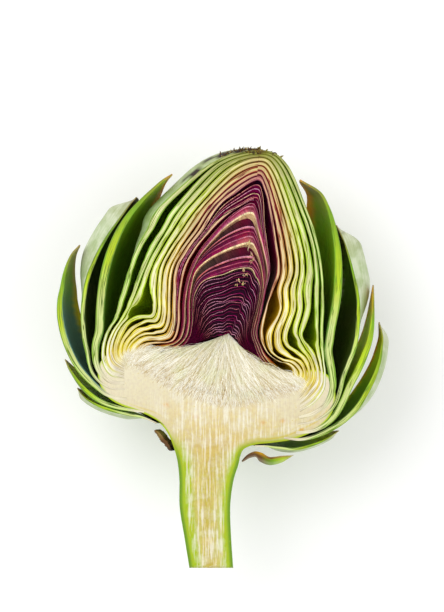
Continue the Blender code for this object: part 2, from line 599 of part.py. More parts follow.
def stem_scales():
    """The two small dry leaves just under the head."""
    left = even_curve(STEM_SCALE_LEFT, 4)
    middle = np.empty((len(left), len(SCALE_LEFT_DEPTHS), 3))
    middle[..., 0] = left[:, 0, None] + np.array(SCALE_LEFT_LEAN)
    middle[..., 1] = left[:, 1, None]
    middle[..., 2] = CUT_HEIGHT - np.array(SCALE_LEFT_DEPTHS)
    shift = np.array([-SCALE_LEFT_HALF_THICKNESS, -SCALE_LEFT_HALF_DEPTH, 0.0])
    leaf_from_faces("stem_scale_left", middle + shift, middle - shift, "dry_scale")
    rim = even_curve(STEM_SCALE_RIGHT_RIM, 8)
    lip = even_curve(STEM_SCALE_RIGHT_LIP, 8)
    across = np.linspace(0, 1, 4)
    flat = rim[:, None] + (lip - rim)[:, None] * across[None, :, None]
    sag = np.broadcast_to(SCALE_RIGHT_SAG * across**1.5, flat.shape[:2])
    face = np.dstack([flat[..., 0], flat[..., 1], CUT_HEIGHT - sag])
    under = face - np.array([0.0, 0.0, SCALE_RIGHT_THICKNESS])
    leaf_from_faces("stem_scale_right", face, under, "dry_scale")


def closed_bud():
    """The closed leaves of both sides, outermost first."""
    for number, bounds in enumerate(LEFT_LEAF_LAYERS):
        slot = "leaf_green" if number < 3 else "leaf_cream"
        bulge = CROWN_BULGE if number == 0 else 0.0
        closed_leaf(f"leaf_left_{number + 1}", "left", bounds, slot, bulge)
    for number, bounds in enumerate(RIGHT_LEAF_LAYERS):
        slot = "leaf_green" if number < 2 else "leaf_cream"
        closed_leaf(f"leaf_right_{number + 1}", "right", bounds, slot)


def inner_leaves():
    """The thin purple leaves arched over the choke."""
    for layer in range(FIRST_INNER_LAYER, LAST_INNER_LAYER + 1):
        inner_leaf(f"inner_leaf_{layer - FIRST_INNER_LAYER + 1}", layer, "leaf_purple")


def outer_rings():
    """The spread leaves round the bud, ring by ring."""
    for ring, (depth_scale, leaves) in RINGS.items():
        for leaf in leaves:
            outer_leaf(ring, depth_scale, leaf, "outer_green")


def main():
    clear_scene()
    for name in MATERIALS:
        make_material(name)
    heart_and_stem()
    choke()
    closed_bud()
    inner_leaves()
    outer_rings()
    stem_scales()


main()
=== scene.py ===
"""Half an artichoke, cut lengthwise and lying on its back with the cut face up.

Design sizes here are millimetres on the cut face: x to the right, y towards the tip of the
bud and z up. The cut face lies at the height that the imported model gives. Every leaf is a
surface over two numbers: its station, from foot to tip, and its turn round the bud.
"""

import math

import bmesh
import bpy
import numpy as np
from bpy.props import FloatProperty, FloatVectorProperty, IntProperty, PointerProperty
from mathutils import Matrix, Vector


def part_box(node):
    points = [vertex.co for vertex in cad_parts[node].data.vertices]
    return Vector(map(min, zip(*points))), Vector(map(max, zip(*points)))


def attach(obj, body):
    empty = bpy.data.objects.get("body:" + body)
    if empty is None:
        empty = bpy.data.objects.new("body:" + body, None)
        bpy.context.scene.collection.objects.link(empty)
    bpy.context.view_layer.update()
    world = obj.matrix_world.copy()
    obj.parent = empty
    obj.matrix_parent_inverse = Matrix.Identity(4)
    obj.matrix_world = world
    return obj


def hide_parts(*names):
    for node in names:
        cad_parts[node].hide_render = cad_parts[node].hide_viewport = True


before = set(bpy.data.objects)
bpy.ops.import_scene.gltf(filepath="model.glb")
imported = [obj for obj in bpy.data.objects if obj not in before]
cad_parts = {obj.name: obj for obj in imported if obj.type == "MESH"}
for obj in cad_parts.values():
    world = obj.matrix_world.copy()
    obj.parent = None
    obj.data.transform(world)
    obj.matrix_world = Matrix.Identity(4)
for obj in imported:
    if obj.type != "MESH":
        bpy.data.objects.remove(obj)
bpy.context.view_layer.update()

bl_info = {
    "name": "Half artichoke",
    "version": (1, 0, 0),
    "blender": (4, 5, 0),
    "location": "3D View > Sidebar > Artichoke",
    "description": "Builds a cut artichoke: heart, choke, closed and spread leaves",
    "category": "Add Mesh",
}

MM = 0.001
CUT_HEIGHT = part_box("heart_and_stem")[1].z / MM
CLOSED_TURN_DEG = 91.0
CROWN_BULGE = 5.4
REST_LEAF = "back_leaf_5"
REST_LEAF_THICKNESS = 1.3
BED_SUNK = 0.32
FLESH_SUNK = 0.04
BUD_MIDDLE_Y = 5.0
WAVE_RATE = 15
PITH_SHARE = 0.47
FIRST_ARCH_LAYER = 9
LAST_ARCH_LAYER = 18
TONE_SHARE = 0.86
SENSOR_WIDTH = 36.0
VIEW_HEIGHT = 0.2081
VIEW_CENTRE_Y = 0.00816
FLOOR_HALF_SIDE = 3.0

# Numbers of points: across the leaves, across and down the heart, the bed of the choke and the
# two stem leaves, and rings along a hair.
CLOSED_TURN_STEPS = 26
ARCH_TURN_STEPS = 9
SPREAD_TURN_STEPS = 36
HEART_STEPS = (101, 181)
BED_STEPS = (91, 31)
SCALE_LEFT_STEPS = (16, 40)
SCALE_RIGHT_STEPS = (20, 90)
HAIR_RINGS = 6
# Where the points over a cut edge lie between the outer face, -1, and the inner face, 1.
CUT_STEPS = np.array([0.96, 0.72, 0.36, 0.0, -0.36, -0.72, -0.96])

# Sections of the closed layers on the cut face, from foot to tip. Layer 0 is outermost.

LEFT_GUIDES = {
    0: [
        (-33.3, -16), (-37.7, -14.8), (-40.1, -11.2), (-40.5, -6.8), (-39.5, -2), (-37.9, 1),
        (-36.4, 3.4), (-35.3, 6.1), (-34.3, 9.2), (-33, 13.6), (-30.8, 20.4), (-28.2, 27.2),
        (-24.6, 34), (-19.4, 42.5), (-10.7, 51.5), (6.1, 61.2),
    ],
    1: [
        (-33.3, -13.9), (-37.1, -12.2), (-38.6, -9.2), (-38.7, -5.4), (-37.2, -1), (-35.7, 1.5),
        (-34, 3.9), (-32.5, 6.5), (-31.1, 9.5), (-29.6, 13.3), (-27.2, 20.4), (-24, 27.2),
        (-20.1, 34), (-14.6, 42.5), (-7, 51.7), (7.8, 61.1),
    ],
    2: [
        (-33.3, -12.9), (-36.4, -10.9), (-37.6, -8.2), (-37.6, -5.1), (-36.2, -1), (-34.5, 1.7),
        (-32.6, 4.1), (-31.3, 6.5), (-29.8, 9.5), (-27.9, 13.8), (-25.2, 20.4), (-21.9, 27.2),
        (-17.7, 34), (-11.9, 42.5), (-4.2, 51.5), (9.4, 61),
    ],
    3: [
        (-33.3, -11.7), (-35.7, -9.9), (-36.3, -7.5), (-35.9, -4.4), (-34.5, -1), (-32, 2.7),
        (-28.2, 5), (-24.3, 5.4), (-23.2, 8.8), (-23.4, 13.6), (-22.6, 20.4), (-19.4, 27.2),
        (-15.1, 34), (-8.7, 42.5), (-1.4, 51.3), (10.7, 60.3),
    ],
    7: [
        (-29.9, -7.5), (-30.4, -6.6), (-30.1, -5.6), (-28.9, -4.4), (-26.9, -3.3), (-24.1, -2.7),
        (-20.9, -2.9), (-17.9, -2), (-16.3, 2.7), (-15.9, 11.6), (-15.1, 20.4), (-11.6, 27.2),
        (-6.3, 34), (-1, 42.2), (5.8, 50.7), (11.9, 55.8),
    ],
    8: [
        (-27.9, -6.8), (-27.9, -6.1), (-27.4, -5.5), (-26.2, -4.9), (-24.3, -4.5), (-21.8, -4.4),
        (-19, -4.4), (-16.3, -3.1), (-14.8, 2.4), (-14.5, 10.9), (-12.8, 20.1), (-9.5, 27),
        (-3.9, 33.8), (1.2, 38.6), (6, 42), (10.5, 44.4),
    ],
    9: [
        (-22.1, -6), (-21.4, -5.8), (-20.6, -5.6), (-19.6, -5.4), (-18.4, -5.2), (-17, -4.8),
        (-15.5, -3.9), (-14.1, -2), (-13.1, 2.7), (-12.8, 10.2), (-10.9, 18.7), (-7.3, 26.2),
        (-1.7, 33.3), (2.2, 37.7), (5.8, 40.6), (9.5, 42.5),
    ],
    10: [
        (-19, -6.5), (-18.4, -6.3), (-17.7, -6.1), (-16.8, -5.9), (-16, -5.5), (-14.8, -4.9),
        (-13.4, -3.6), (-12.2, -1.5), (-11.4, 2.7), (-11.4, 9.5), (-10.7, 15.6), (-9, 21.4),
        (-4.8, 25.8), (0, 28.7), (4.8, 30.9), (9.5, 32.1),
    ],
    11: [
        (-16, -6.6), (-15.5, -6.5), (-15, -6.3), (-14.3, -6), (-13.5, -5.4), (-12.6, -4.6),
        (-11.6, -3.2), (-10.7, -1.2), (-10.2, 2.4), (-10.2, 6.5), (-9.9, 10.5), (-8.8, 14.3),
        (-5.8, 17.5), (-1.4, 19.4), (3.7, 21.1), (8.8, 21.9),
    ],
    18: [
        (-12.2, -6.1), (-11.9, -6), (-11.4, -5.8), (-10.9, -5.5), (-10.2, -5.2), (-9.4, -4.7),
        (-8.3, -4.1), (-7.3, -3.5), (-6.3, -2.9), (-5.3, -2.4), (-4.1, -1.9), (-2.9, -1.4),
        (-1.5, -0.9), (-0.2, -0.5), (1, -0.3), (2.3, -0.2),
    ],
}

RIGHT_GUIDES = {
    0: [
        (26.5, -27.5), (31.3, -24.3), (34.5, -19.9), (35, -15.1), (34.5, -10.9), (34.3, -8.2),
        (34, -5.8), (33.9, -3.1), (33.8, 0.7), (34.1, 6.8), (34, 13.6), (33.7, 20.4),
        (32.3, 28.9), (29.2, 39.1), (24.3, 50), (17.2, 60.4),
    ],
    1: [
        (26.5, -26.2), (30.6, -23), (33.5, -19), (33.9, -14.8), (33.5, -11.2), (32.9, -8.5),
        (32.4, -6.1), (32.1, -3.4), (32, 0), (32, 6.8), (32.3, 13.6), (32.3, 20.4),
        (30.8, 28.9), (27.7, 39.1), (23, 50), (15.8, 60.7),
    ],
    2: [
        (26.5, -24.5), (29.6, -21.4), (32.1, -18), (32.6, -14.3), (31.8, -10.9), (30.6, -8.2),
        (29.2, -5.8), (28.1, -3.4), (27.5, -0.3), (29.4, 6.5), (29.1, 13.6), (29.8, 20.4),
        (28.6, 28.9), (25.5, 39.1), (21.2, 49.6), (14.6, 60.6),
    ],
    3: [
        (26.5, -23.1), (28.7, -20.4), (30.9, -17), (31.1, -13.8), (30.3, -10.5), (28.9, -8.2),
        (27.3, -6.1), (25.8, -3.7), (24.7, -0.3), (26.5, 6.8), (26.4, 13.6), (27.4, 20.4),
        (26.5, 28.9), (23.5, 39.1), (19.2, 49.3), (13.5, 59.9),
    ],
    6: [
        (25.5, -18.5), (26.4, -17), (26.9, -15.3), (26.7, -13.6), (25.5, -12.1), (23.6, -10.7),
        (20.6, -9.9), (16.5, -7), (16, -1.4), (19.4, 6.8), (19.4, 13.6), (21.4, 20.4),
        (20.4, 28.9), (18.2, 39.4), (15.3, 48.3), (12.9, 55.6),
    ],
    7: [
        (24.5, -17.2), (25.2, -16.2), (25.3, -15), (25, -13.8), (24, -12.6), (22.3, -11.6),
        (19.6, -10.9), (15.1, -7.3), (13, -1), (15, 7.5), (16.8, 13.6), (18.7, 20.4),
        (18, 28.9), (16.3, 39.4), (14.3, 47.6), (12.6, 53.4),
    ],
    8: [
        (21.2, -14.6), (21.4, -13.9), (21.2, -13.2), (20.7, -12.4), (19.9, -11.5), (18.7, -10.5),
        (17, -9.6), (14.4, -6.7), (12.4, -1), (14.1, 7.1), (15.6, 13.6), (17.2, 20.7),
        (16, 28.9), (13.9, 38.1), (12.6, 42.5), (11.1, 44.3),
    ],
    9: [
        (18, -11.9), (17.5, -11.7), (17, -11.4), (16.4, -11), (15.8, -10.4), (15.1, -9.5),
        (14.3, -8.3), (13.4, -6.1), (11.7, -1), (13.3, 6.8), (14.5, 13.6), (15.8, 21.1),
        (14.3, 28.9), (12.4, 36), (11.4, 40.5), (9.9, 42.5),
    ],
    10: [
        (16.8, -12.1), (16.3, -11.8), (15.8, -11.6), (15.3, -11.2), (14.7, -10.5), (14, -9.5),
        (13.3, -8.2), (12.4, -5.8), (10.9, -1), (12.1, 4.8), (13.3, 10.2), (14.3, 15.6),
        (13.8, 21.8), (12.6, 26.9), (11.4, 30.3), (9.9, 32),
    ],
    11: [
        (15.6, -12.1), (15.2, -11.8), (14.8, -11.6), (14.3, -11.1), (13.7, -10.4), (13, -9.3),
        (12.2, -7.8), (11.4, -5.4), (10.2, -1.4), (10.9, 3.1), (12.1, 7.5), (13.1, 12.2),
        (13.1, 15.6), (12.4, 18.4), (11.1, 20.7), (9.2, 21.9),
    ],
    18: [
        (11.6, -10.9), (11.2, -10.5), (10.7, -10.2), (10.2, -9.7), (9.6, -9.1), (9, -8.3),
        (8.3, -7.5), (7.6, -6.5), (6.8, -5.4), (6.1, -4.6), (5.4, -3.7), (4.8, -2.9),
        (4.2, -2), (3.6, -1.3), (3.1, -0.7), (2.6, -0.3),
    ],
}

RING_SECTIONS = {
    "left_1": [
        (-33.2, -18.2), (-37.7, -17.6), (-41, -15), (-42.7, -11.4), (-43.1, -7.8), (-42.8, -4.4),
        (-41.7, 0), (-41.4, 6.8), (-40.8, 13.6), (-39.6, 20.4), (-37.6, 27.2), (-34.7, 34),
        (-31.3, 39.4), (-27.5, 43.9), (-23.8, 47.6), (-20.4, 50.7), (-16.9, 52.9),
    ],
    "right_1": [
        (26.2, -29.8), (31.3, -28.2), (35.4, -25), (37.6, -20.1), (37.4, -15), (36.7, -10.9),
        (36.1, -7.1), (36.6, -3.4), (37.2, 0.7), (38.4, 6.8), (39.3, 12.9), (39.6, 20.4),
        (39.4, 26.5), (38.6, 32), (37.6, 36.9), (36, 41.8), (33.2, 46.8), (26.5, 51),
    ],
    "left_2": [
        (-33, -20.1), (-37.4, -19.9), (-41.1, -18), (-43.8, -15), (-45.1, -11.2), (-45.7, -7.7),
        (-46.6, -3.7), (-47.1, 0.7), (-47.3, 6.8), (-46.6, 12.9), (-45.4, 18.4), (-43.7, 22.8),
        (-41.5, 27.5), (-38.9, 32), (-36.2, 35.9), (-33.7, 39.4), (-31.3, 42.7), (-29.1, 45.2),
    ],
    "right_2": [
        (25.8, -32), (30.9, -31.1), (35.4, -28.7), (38.4, -25.2), (40.1, -20.7), (41.1, -16.3),
        (42.8, -11.9), (44.5, -7.5), (45.7, -2.7), (46.2, 2.7), (46.4, 8.5), (45.9, 13.6),
        (44.7, 19), (43.4, 24.1), (41.7, 29.6), (40.1, 33.3), (38.9, 35.7),
    ],
    "left_3": [
        (-32.3, -23.5), (-36, -23.1), (-39.4, -21.8), (-42.5, -19.4), (-45.4, -16.7), (-48, -13.8),
        (-50.2, -10.5), (-52, -6.8), (-53.3, -3.4), (-54.4, 0.7), (-55.1, 5.4), (-55.1, 10.2),
        (-54.4, 14.3), (-53.7, 18.7), (-52.5, 22.8), (-50.8, 26.2), (-48.3, 28.9),
    ],
    "right_3": [
        (25.2, -34.9), (30.3, -34.4), (35, -32.3), (38.6, -28.7), (41.3, -24), (43.5, -19),
        (45.9, -14.5), (48.3, -9.2), (50.4, -3.1), (51.3, 3.4), (51.5, 10.2), (51.4, 15.3),
    ],
    "left_4": [
        (-26.5, -27.9), (-30.9, -27.2), (-35, -26.4), (-39.1, -25.2), (-42.8, -23.3), (-45.9, -20.9),
        (-48.5, -18.2), (-50.7, -15.1), (-52.4, -12.2), (-53.4, -10),
    ],
    "right_4": [
        (21.1, -36.7), (26.5, -37.2), (31.3, -36.2), (36, -34.2), (41.3, -30.9), (45.9, -26.4),
        (49.1, -21.4), (51.7, -16.3), (53.6, -10.9), (54.4, -6.1), (54.6, -2), (53.4, 2.7),
    ],
    "left_5": [
        (-22.4, -31.6), (-27.2, -29.6), (-32.3, -28.6), (-37.4, -27.4), (-42.2, -25.7), (-45.6, -23.8),
        (-47.8, -21.8), (-49.3, -19.7),
    ],
    "right_5": [
        (11.2, -39.4), (15, -39.5), (19.7, -40.1), (24.8, -40.5), (29.9, -39.4), (35, -37.4),
        (39.8, -34.3),
    ],
}

CHOKE_TOP_LEFT = [
    (2, -2), (-0.3, -2.7), (-2.7, -3.6), (-5.4, -4.8), (-8.2, -5.9), (-10.9, -6.8),
    (-13.6, -7.3), (-17, -7.4), (-20.1, -7.1), (-22.4, -7.1), (-24.5, -7.8), (-25.8, -9),
]
CHOKE_TOP_RIGHT = [
    (2, -2), (3.1, -3.7), (4.2, -5.4), (5.8, -7.3), (7.5, -9), (9.5, -10.7),
    (11.9, -12.2), (15, -13.4), (18, -14), (20.4, -14.6), (22.1, -15.7), (22.8, -17),
]
CHOKE_LOW_LEFT = [
    (-25.8, -10.7), (-22.1, -14.8), (-18, -17.6), (-11.9, -20.8), (-5.4, -23.2), (1.4, -24.1),
]
CHOKE_LOW_RIGHT = [
    (22.6, -18.7), (20.9, -20.3), (18.2, -21.9), (13.6, -23.1), (8.2, -23.9), (1.4, -24.1),
]
STEM_SCALE_LEFT = [
    (-17.2, -41.1), (-19, -38.8), (-21.1, -36.2), (-22.8, -34),
]
STEM_SCALE_RIGHT_RIM = [
    (6.6, -44.5), (8.5, -42.5), (11.1, -41.3), (13.6, -41.8), (16.3, -43.2), (20.3, -42.8),
    (24.4, -42.6),
]
STEM_SCALE_RIGHT_LIP = [
    (7, -45.1), (9.5, -43.7), (11.6, -43.4), (12.9, -44.9), (16.3, -46.1), (20.4, -45.2),
    (24.2, -42.9),
]
# Where the sections of each layer come together under the crown: the last known point but
# one on the left, on the right, and the crest that both sides share.
CREST = {
    0: ((-2.5, 57.0), (21.8, 56.2), (13.0, 61.0)),
    1: ((-0.9, 56.4), (20.4, 56.0), (12.8, 60.2)),
    2: ((1.0, 55.6), (19.0, 55.4), (12.6, 59.3)),
    3: ((3.0, 54.6), (17.7, 54.6), (12.4, 58.2)),
    6: ((5.0, 49.6), (15.0, 50.4), (12.0, 53.6)),
    7: ((5.4, 47.4), (14.4, 48.0), (11.9, 51.2)),
}
# Outline of the fused flesh that closes the gaps between the feet of the leaves.
FLESH_SIDE_LEFT = [
    (-29.2, -8.0), (-35.6, -7.0), (-40.0, -9.2), (-42.2, -13.6), (-41.4, -18.8), (-38.6, -23.0),
    (-34.8, -25.4), (-29.8, -27.2), (-24.8, -29.2), (-21.0, -31.8), (-18.4, -35.2),
    (-16.6, -39.4), (-15.2, -44.4), (-14.5, -51), (-14.4, -60.2), (-12.8, -70.4), (-11.1, -80.9),
]
FLESH_SIDE_RIGHT = [
    (24.2, -16.6), (30.0, -13.6), (35.6, -15.0), (38.2, -19.6), (38.4, -25.0), (36.4, -29.8),
    (32.0, -33.9), (24.8, -37.0), (17.4, -38.3), (11.6, -38.9), (7.6, -40.4), (6.3, -42.6),
    (5.5, -46.0), (3.8, -51.7), (2.8, -60.2), (3.1, -70.4), (3.8, -80.9),
]
FLESH_TOP_LEFT = [
    (1.6, -22.6), (-5.2, -21.8), (-11.8, -19.6), (-17.9, -16.4), (-21.6, -13.9), (-25.0, -11.0),
    (-29.2, -8.0),
]
FLESH_TOP_RIGHT = [
    (1.6, -22.6), (8.2, -22.6), (13.6, -21.9), (18.0, -20.8), (20.6, -19.4), (22.2, -18.2),
    (24.2, -16.6),
]
# Closed leaves of each side: outer and inner layer where cut, and inner layer at the tip.
LEFT_LEAF_LAYERS = [
    (-0.3, 0.3, 0.3), (0.74, 1.42, 1.42), (1.56, 2.34, 2.34), (2.52, 3.6, 3.5),
    (3.72, 4.42, 4.42), (4.54, 5.5, 5.5), (5.62, 6.2, 6.2), (6.34, 7.5, 7.05),
    (7.72, 8.25, 8.1),
]
RIGHT_LEAF_LAYERS = [
    (-0.34, 0.32, 0.32), (0.55, 1.3, 1.3), (1.5, 2.5, 2.5), (2.64, 3.42, 3.42),
    (3.56, 4.42, 4.42), (4.56, 5.44, 5.44), (5.6, 6.42, 6.42), (6.6, 7.3, 7.05),
]

# The same for all under the crown, where both sides meet.
TIP_LAYERS = [
    (-0.3, 0.5), (0.62, 1.38), (1.5, 2.42), (2.54, 3.5), (3.62, 4.42), (4.54, 5.48), (5.6, 6.3),
    (6.42, 7.05), (7.9, 8.02),
]
# Upper and lower edges of the field of hairs on the cut face, from the middle outwards.
HAIR_TOP_LEFT = [
    (2.2, -1.9), (-1.8, -3.3), (-5, -4.6), (-8.5, -5.6), (-12, -6.2), (-16, -6.3), (-20.5, -5.9),
    (-25, -5.4), (-29.2, -5.2), (-32.4, -6.2), (-33.8, -8.2),
]
HAIR_TOP_RIGHT = [
    (2.2, -1.9), (3.6, -4.0), (5.6, -6.6), (8.0, -9.2), (10.7, -11.2), (13.8, -12.6),
    (17.2, -13.6), (20.6, -14.2), (23.8, -14.8), (26.4, -15.6), (28.2, -17.0),
]
HAIR_LOW_LEFT = [
    (1.0, -25.6), (-5.0, -24.6), (-11.0, -22.4), (-16.4, -20.0), (-21.0, -17.4),
    (-25.0, -15.0), (-28.6, -12.8), (-31.4, -11.2), (-33.4, -10.0),
]
HAIR_LOW_RIGHT = [
    (1.0, -25.6), (6.6, -25.2), (11.8, -24.2), (16.2, -23.0), (20.0, -21.8), (23.2, -20.8),
    (25.8, -19.8), (27.4, -19.0), (28.2, -18.0),
]

# Spread leaves, ring by ring: depth scale, then name, side or centre angle, half width in
# degrees, greatest thickness, outward bulge and the station where the bulge begins.
RINGS = {
    1: (1.0, [
        ("outer_leaf_left_1", "left", 56, 2.9, 0.0, 0.0),
        ("outer_leaf_right_1", "right", 56, 2.8, 0.0, 0.0),
        ("back_leaf_1", 90, 27, 2.2, 0.0, 0.0),
    ]),
    2: (0.98, [
        ("outer_leaf_left_2", "left", 36, 1.5, 5.5, 0.45),
        ("outer_leaf_right_2", "right", 36, 1.5, 5.5, 0.5),
        ("back_leaf_2", 64, 22, 2.0, 0.0, 0.0),
        ("back_leaf_3", 116, 22, 2.0, 0.0, 0.0),
    ]),
    3: (0.96, [
        ("outer_leaf_left_3", "left", 30, 2.2, 0.0, 0.0),
        ("outer_leaf_right_3", "right", 22, 2.2, 0.0, 0.0),
        ("back_leaf_4", 45, 18, 2.0, 0.0, 0.0),
        ("back_leaf_5", 90, 23, 2.4, 0.0, 0.0),
        ("back_leaf_6", 132, 16, 2.0, 0.0, 0.0),
    ]),
    4: (0.94, [
        ("outer_leaf_left_4", "left", 26, 1.5, 0.5, 0.3),
        ("outer_leaf_right_4", "right", 24, 1.8, 2.2, 0.35),
        ("back_leaf_7", 50, 20, 1.8, 0.0, 0.0),
        ("back_leaf_8", 129, 20, 1.8, 0.0, 0.0),
    ]),
    5: (0.95, [
        ("outer_leaf_left_5", "left", 40, 1.0, 1.6, 0.15),
        ("outer_leaf_right_5", "right", 40, 0.9, 1.2, 0.1),
        ("back_leaf_9", 92, 30, 1.5, 0.0, 0.0),
    ]),
}

# Colour names by layer, outermost first, and by station from foot to tip.
TONE_STATIONS = (0.0, 0.15, 0.42, 0.65, 0.85, 1.0)
FLESH_TONES = {
    0: "pulp white pale_lime pale_lime mist olive",
    2: "pulp white mist mist mist olive",
    3: "pulp butter mist cream mist sand",
    5: "pulp butter cream cream sand sand",
    7: "pulp cream cream blush blush rose",
    8: "pulp cream blush blush blush rose",
    9: "butter blush blush blush blush blush",
    18: "rose rose rose rose rose rose",
}
SKIN_TONES = {
    0: "pulp lime green green green olive",
    1: "pulp yellow lime green green olive",
    3: "pulp yellow lime lime lime brown",
    5: "pulp yellow yellow yellow brick brick",
    7: "pulp yellow ochre brick wine wine",
    8: "pulp ochre brick brick wine wine",
    9: "butter ochre brick wine wine wine",
    18: "plum plum plum plum plum plum",
}
# How the flesh darkens and yellows towards the stem: the distance below y = 0, then the share
# of red, green and blue that is left there.
HEART_TINTS = (
    (14, (1.0, 1.0, 0.98)),
    (27, (0.93, 0.91, 0.85)),
    (38, (0.8, 0.76, 0.63)),
    (52, (0.74, 0.78, 0.48)),
)
# Small orange specks on the cut face of the heart.
HEART_SPECKS = ((20.7, -31.0), (27.2, -34.0), (-9.0, -29.5), (-19.0, -25.5), (14.0, -31.5))
# Dry scars under the crown: x, y, turn in degrees, half length and half width.
SCARS = (
    (-9.6, 53.4, 38, 3.6, 1.0), (-4.6, 58.2, 28, 2.2, 0.7), (0.5, 59.8, 20, 2.6, 0.9),
    (6.0, 61.0, 10, 2.6, 0.9), (-13.6, 50.6, 42, 1.4, 0.5), (10.5, 61.6, -5, 2.0, 0.8),
)
# The top edge of the crown, where the crumbs lie.
CROWN_X = (-8, -4, 0, 4, 8, 12, 16, 20)
CROWN_Y = (57.6, 59.2, 60.2, 60.9, 61.3, 61.3, 60.7, 58.6)
# Where threads spread from on the tips of the purple leaves: x, y and greatest length.
THREAD_NODES = (
    (9.0, 30.0, 2.4), (9.4, 28.4, 2.0), (10.2, 25.6, 1.7), (10.4, 23.8, 1.6), (7.4, 20.2, 1.2),
    (8.0, 18.8, 1.0), (5.6, 17.0, 0.9), (4.8, 15.4, 0.8), (7.2, 15.8, 0.8),
)
# The three outermost purple leaves: the layer of the wall behind each, a sheet deep in the
# hollow coloured with painted shade, then the tones of the leaf's outer and inner faces.
ARCH_BODIES = {
    9: (9.62, "yellow ochre brick wine magenta wine", "butter butter blush rose mauve rose"),
    10: (10.6, "wine brick wine magenta plum wine", "cream butter blush rose magenta rose"),
    11: (11.5, "wine wine magenta plum plum wine", "butter rose magenta wine magenta wine"),
}
# The thin sheets of each: shift in layers, half thickness, how far sunk, waviness, seed and
# tones of both faces.
FINE_SHEETS = (
    (0.25, 0.035, 0.0, 0.02, 0, "butter cream blush blush cream", "butter blush blush blush blush"),
    (0.05, 0.02, 0.05, 0.03, 9, "wine rose mauve magenta mauve", "wine brick wine brick rose"),
    (-0.14, 0.02, 0.05, 0.03, 10, "wine rose magenta mauve magenta", "wine brick wine brick rose"),
    (-0.3, 0.035, 0.0, 0.03, 20, "ochre brick wine rose mauve", "yellow brick wine brick rose"),
)


# ---------------------------------------------------------------- sizes and colours


def linear(code):
    """Linear red, green and blue of a six-letter colour code."""
    value = np.array([int(code[k : k + 2], 16) for k in (0, 2, 4)]) / 255
    return np.where(value <= 0.04045, value / 12.92, ((value + 0.055) / 1.055) ** 2.4)


def tone(name, code, description):
    """A colour property with its default given as a colour code."""
    return FloatVectorProperty(
        name=name, description=description, subtype="COLOR", size=3, min=0.0, max=1.0,
        default=tuple(linear(code)),
    )


class ArtichokeTones(bpy.types.PropertyGroup):
    """Colours of the flesh, the skins and the dry bits, with some painted shade and painted highlight.
    """

    white: tone("White flesh", "f6f3e4", "Flesh at the feet of the leaves")
    pulp: tone("Heart flesh", "e6dec6", "Flesh of the heart and of the feet of the leaves")
    cream: tone("Cream flesh", "f1ebc6", "Flesh of the heart's edge and lower leaves")
    butter: tone("Butter flesh", "ecdf9c", "Flesh of the middle leaves")
    yellow: tone("Yellow line", "dcc53e", "Inner skin of the middle leaves")
    ochre: tone("Ochre line", "c4983c", "Skin of the inner leaves low down")
    mist: tone("Mist flesh", "dfe2ae", "Palest flesh of the green leaves")
    lime: tone("Lime flesh", "b9d045", "Flesh of the outer closed leaves")
    pale_lime: tone("Pale lime flesh", "d2de9c", "Flesh of the outermost leaves")
    green: tone("Green skin", "7ea63a", "Skin of the outer leaves")
    deep_green: tone("Deep green skin", "587c28", "Skin of the spread leaves")
    forest: tone("Shaded green", "3f4f1f", "Inside faces low between the leaves")
    olive: tone("Olive tip", "83823c", "Tips of the closed leaves")
    sand: tone("Sand flesh", "d8c894", "Flesh of the middle leaves high up")
    teal: tone("Bluish skin", "64857a", "Inside of the outermost leaf on the left")
    blush: tone("Blush flesh", "e6caa6", "Flesh of the inner leaves")
    rose: tone("Rose flesh", "c58488", "Flesh of the inner leaves high up")
    brick: tone("Brick skin", "9a4a44", "Skin of the inner leaves high up")
    wine: tone("Wine skin", "6a0b36", "Skin of the purple leaves")
    plum: tone("Plum skin", "2c0522", "Skin of the innermost leaves")
    mauve: tone("Mauve edge", "dba6bc", "Cut edges of the purple leaves")
    magenta: tone("Magenta face", "97205c", "Lit faces of the purple leaves")
    # Painted shade: the dusky tone stands for the shade in the hollows between the purple leaves.
    dusk: tone("Dusky wall", "6f6055", "Walls of the hollows between the purple leaves")
    brown: tone("Brown scar", "6c4c2a", "Dry scars and tips")
    # Black for the scars and dry bits, and also painted shade on the sunk bodies of the inner leaves.
    char: tone("Black scar", "2a1e14", "Darkest dry bits")
    # Pale bloom, partly painted highlight where the outer faces catch the light.
    bloom: tone("Bloom", "dfe3ca", "Pale bloom outside the spread leaves")
    tan: tone("Tan margin", "a5925f", "Withered margins")
    orange: tone("Orange margin", "e59a35", "Dry orange margins and specks")
    pith: tone("Pith streak", "cdb26a", "Darker streaks in the pith")
    peach: tone("Peach pith", "e6d29c", "Fibres of the heart and stem")
    husk: tone("Dull hair", "c6b67c", "Darkest hairs of the choke")
    hair: tone("Choke hair", "fffdf2", "Lightest hairs of the choke")


class ArtichokeSizes(bpy.types.PropertyGroup):
    """Sizes of the fine detail."""

    leaf_rows: IntProperty(
        name="Leaf rows", description="Rows of points from foot to tip of a leaf",
        default=150, min=20, max=400,
    )
    waviness: FloatProperty(
        name="Waviness", description="How far closed leaves stray from their layer, in layers",
        default=0.045, min=0.0, max=0.2,
    )
    hair_count: IntProperty(
        name="Hair count", description="Number of hairs in the choke",
        default=6200, min=100, max=7000,
    )
    hair_thickness: FloatProperty(
        name="Hair thickness", description="Diameter of one hair at its root",
        default=0.00026, min=0.00005, max=0.001, subtype="DISTANCE", unit="LENGTH",
    )


class ArtichokeStage(bpy.types.PropertyGroup):
    """Floor, light and camera."""

    camera_height: FloatProperty(
        name="Camera height", description="Height of the camera above the cut face",
        default=1.0, min=0.2, max=5.0, subtype="DISTANCE", unit="LENGTH",
    )
    sky: FloatProperty(
        name="Sky", description="Strength of the even light from all round",
        default=0.85, min=0.0, max=5.0,
    )
    key_power: FloatProperty(
        name="Key power", description="Power of the large soft light",
        default=4.5, min=0.0, max=200.0, subtype="POWER", unit="POWER",
    )


def palette():
    """Every tone by name, as linear red, green and blue, dimmed so that the floor stays whiter."""
    tones = bpy.context.scene.artichoke_tones
    return {name: np.array(getattr(tones, name)) * TONE_SHARE for name in ArtichokeTones.__annotations__}


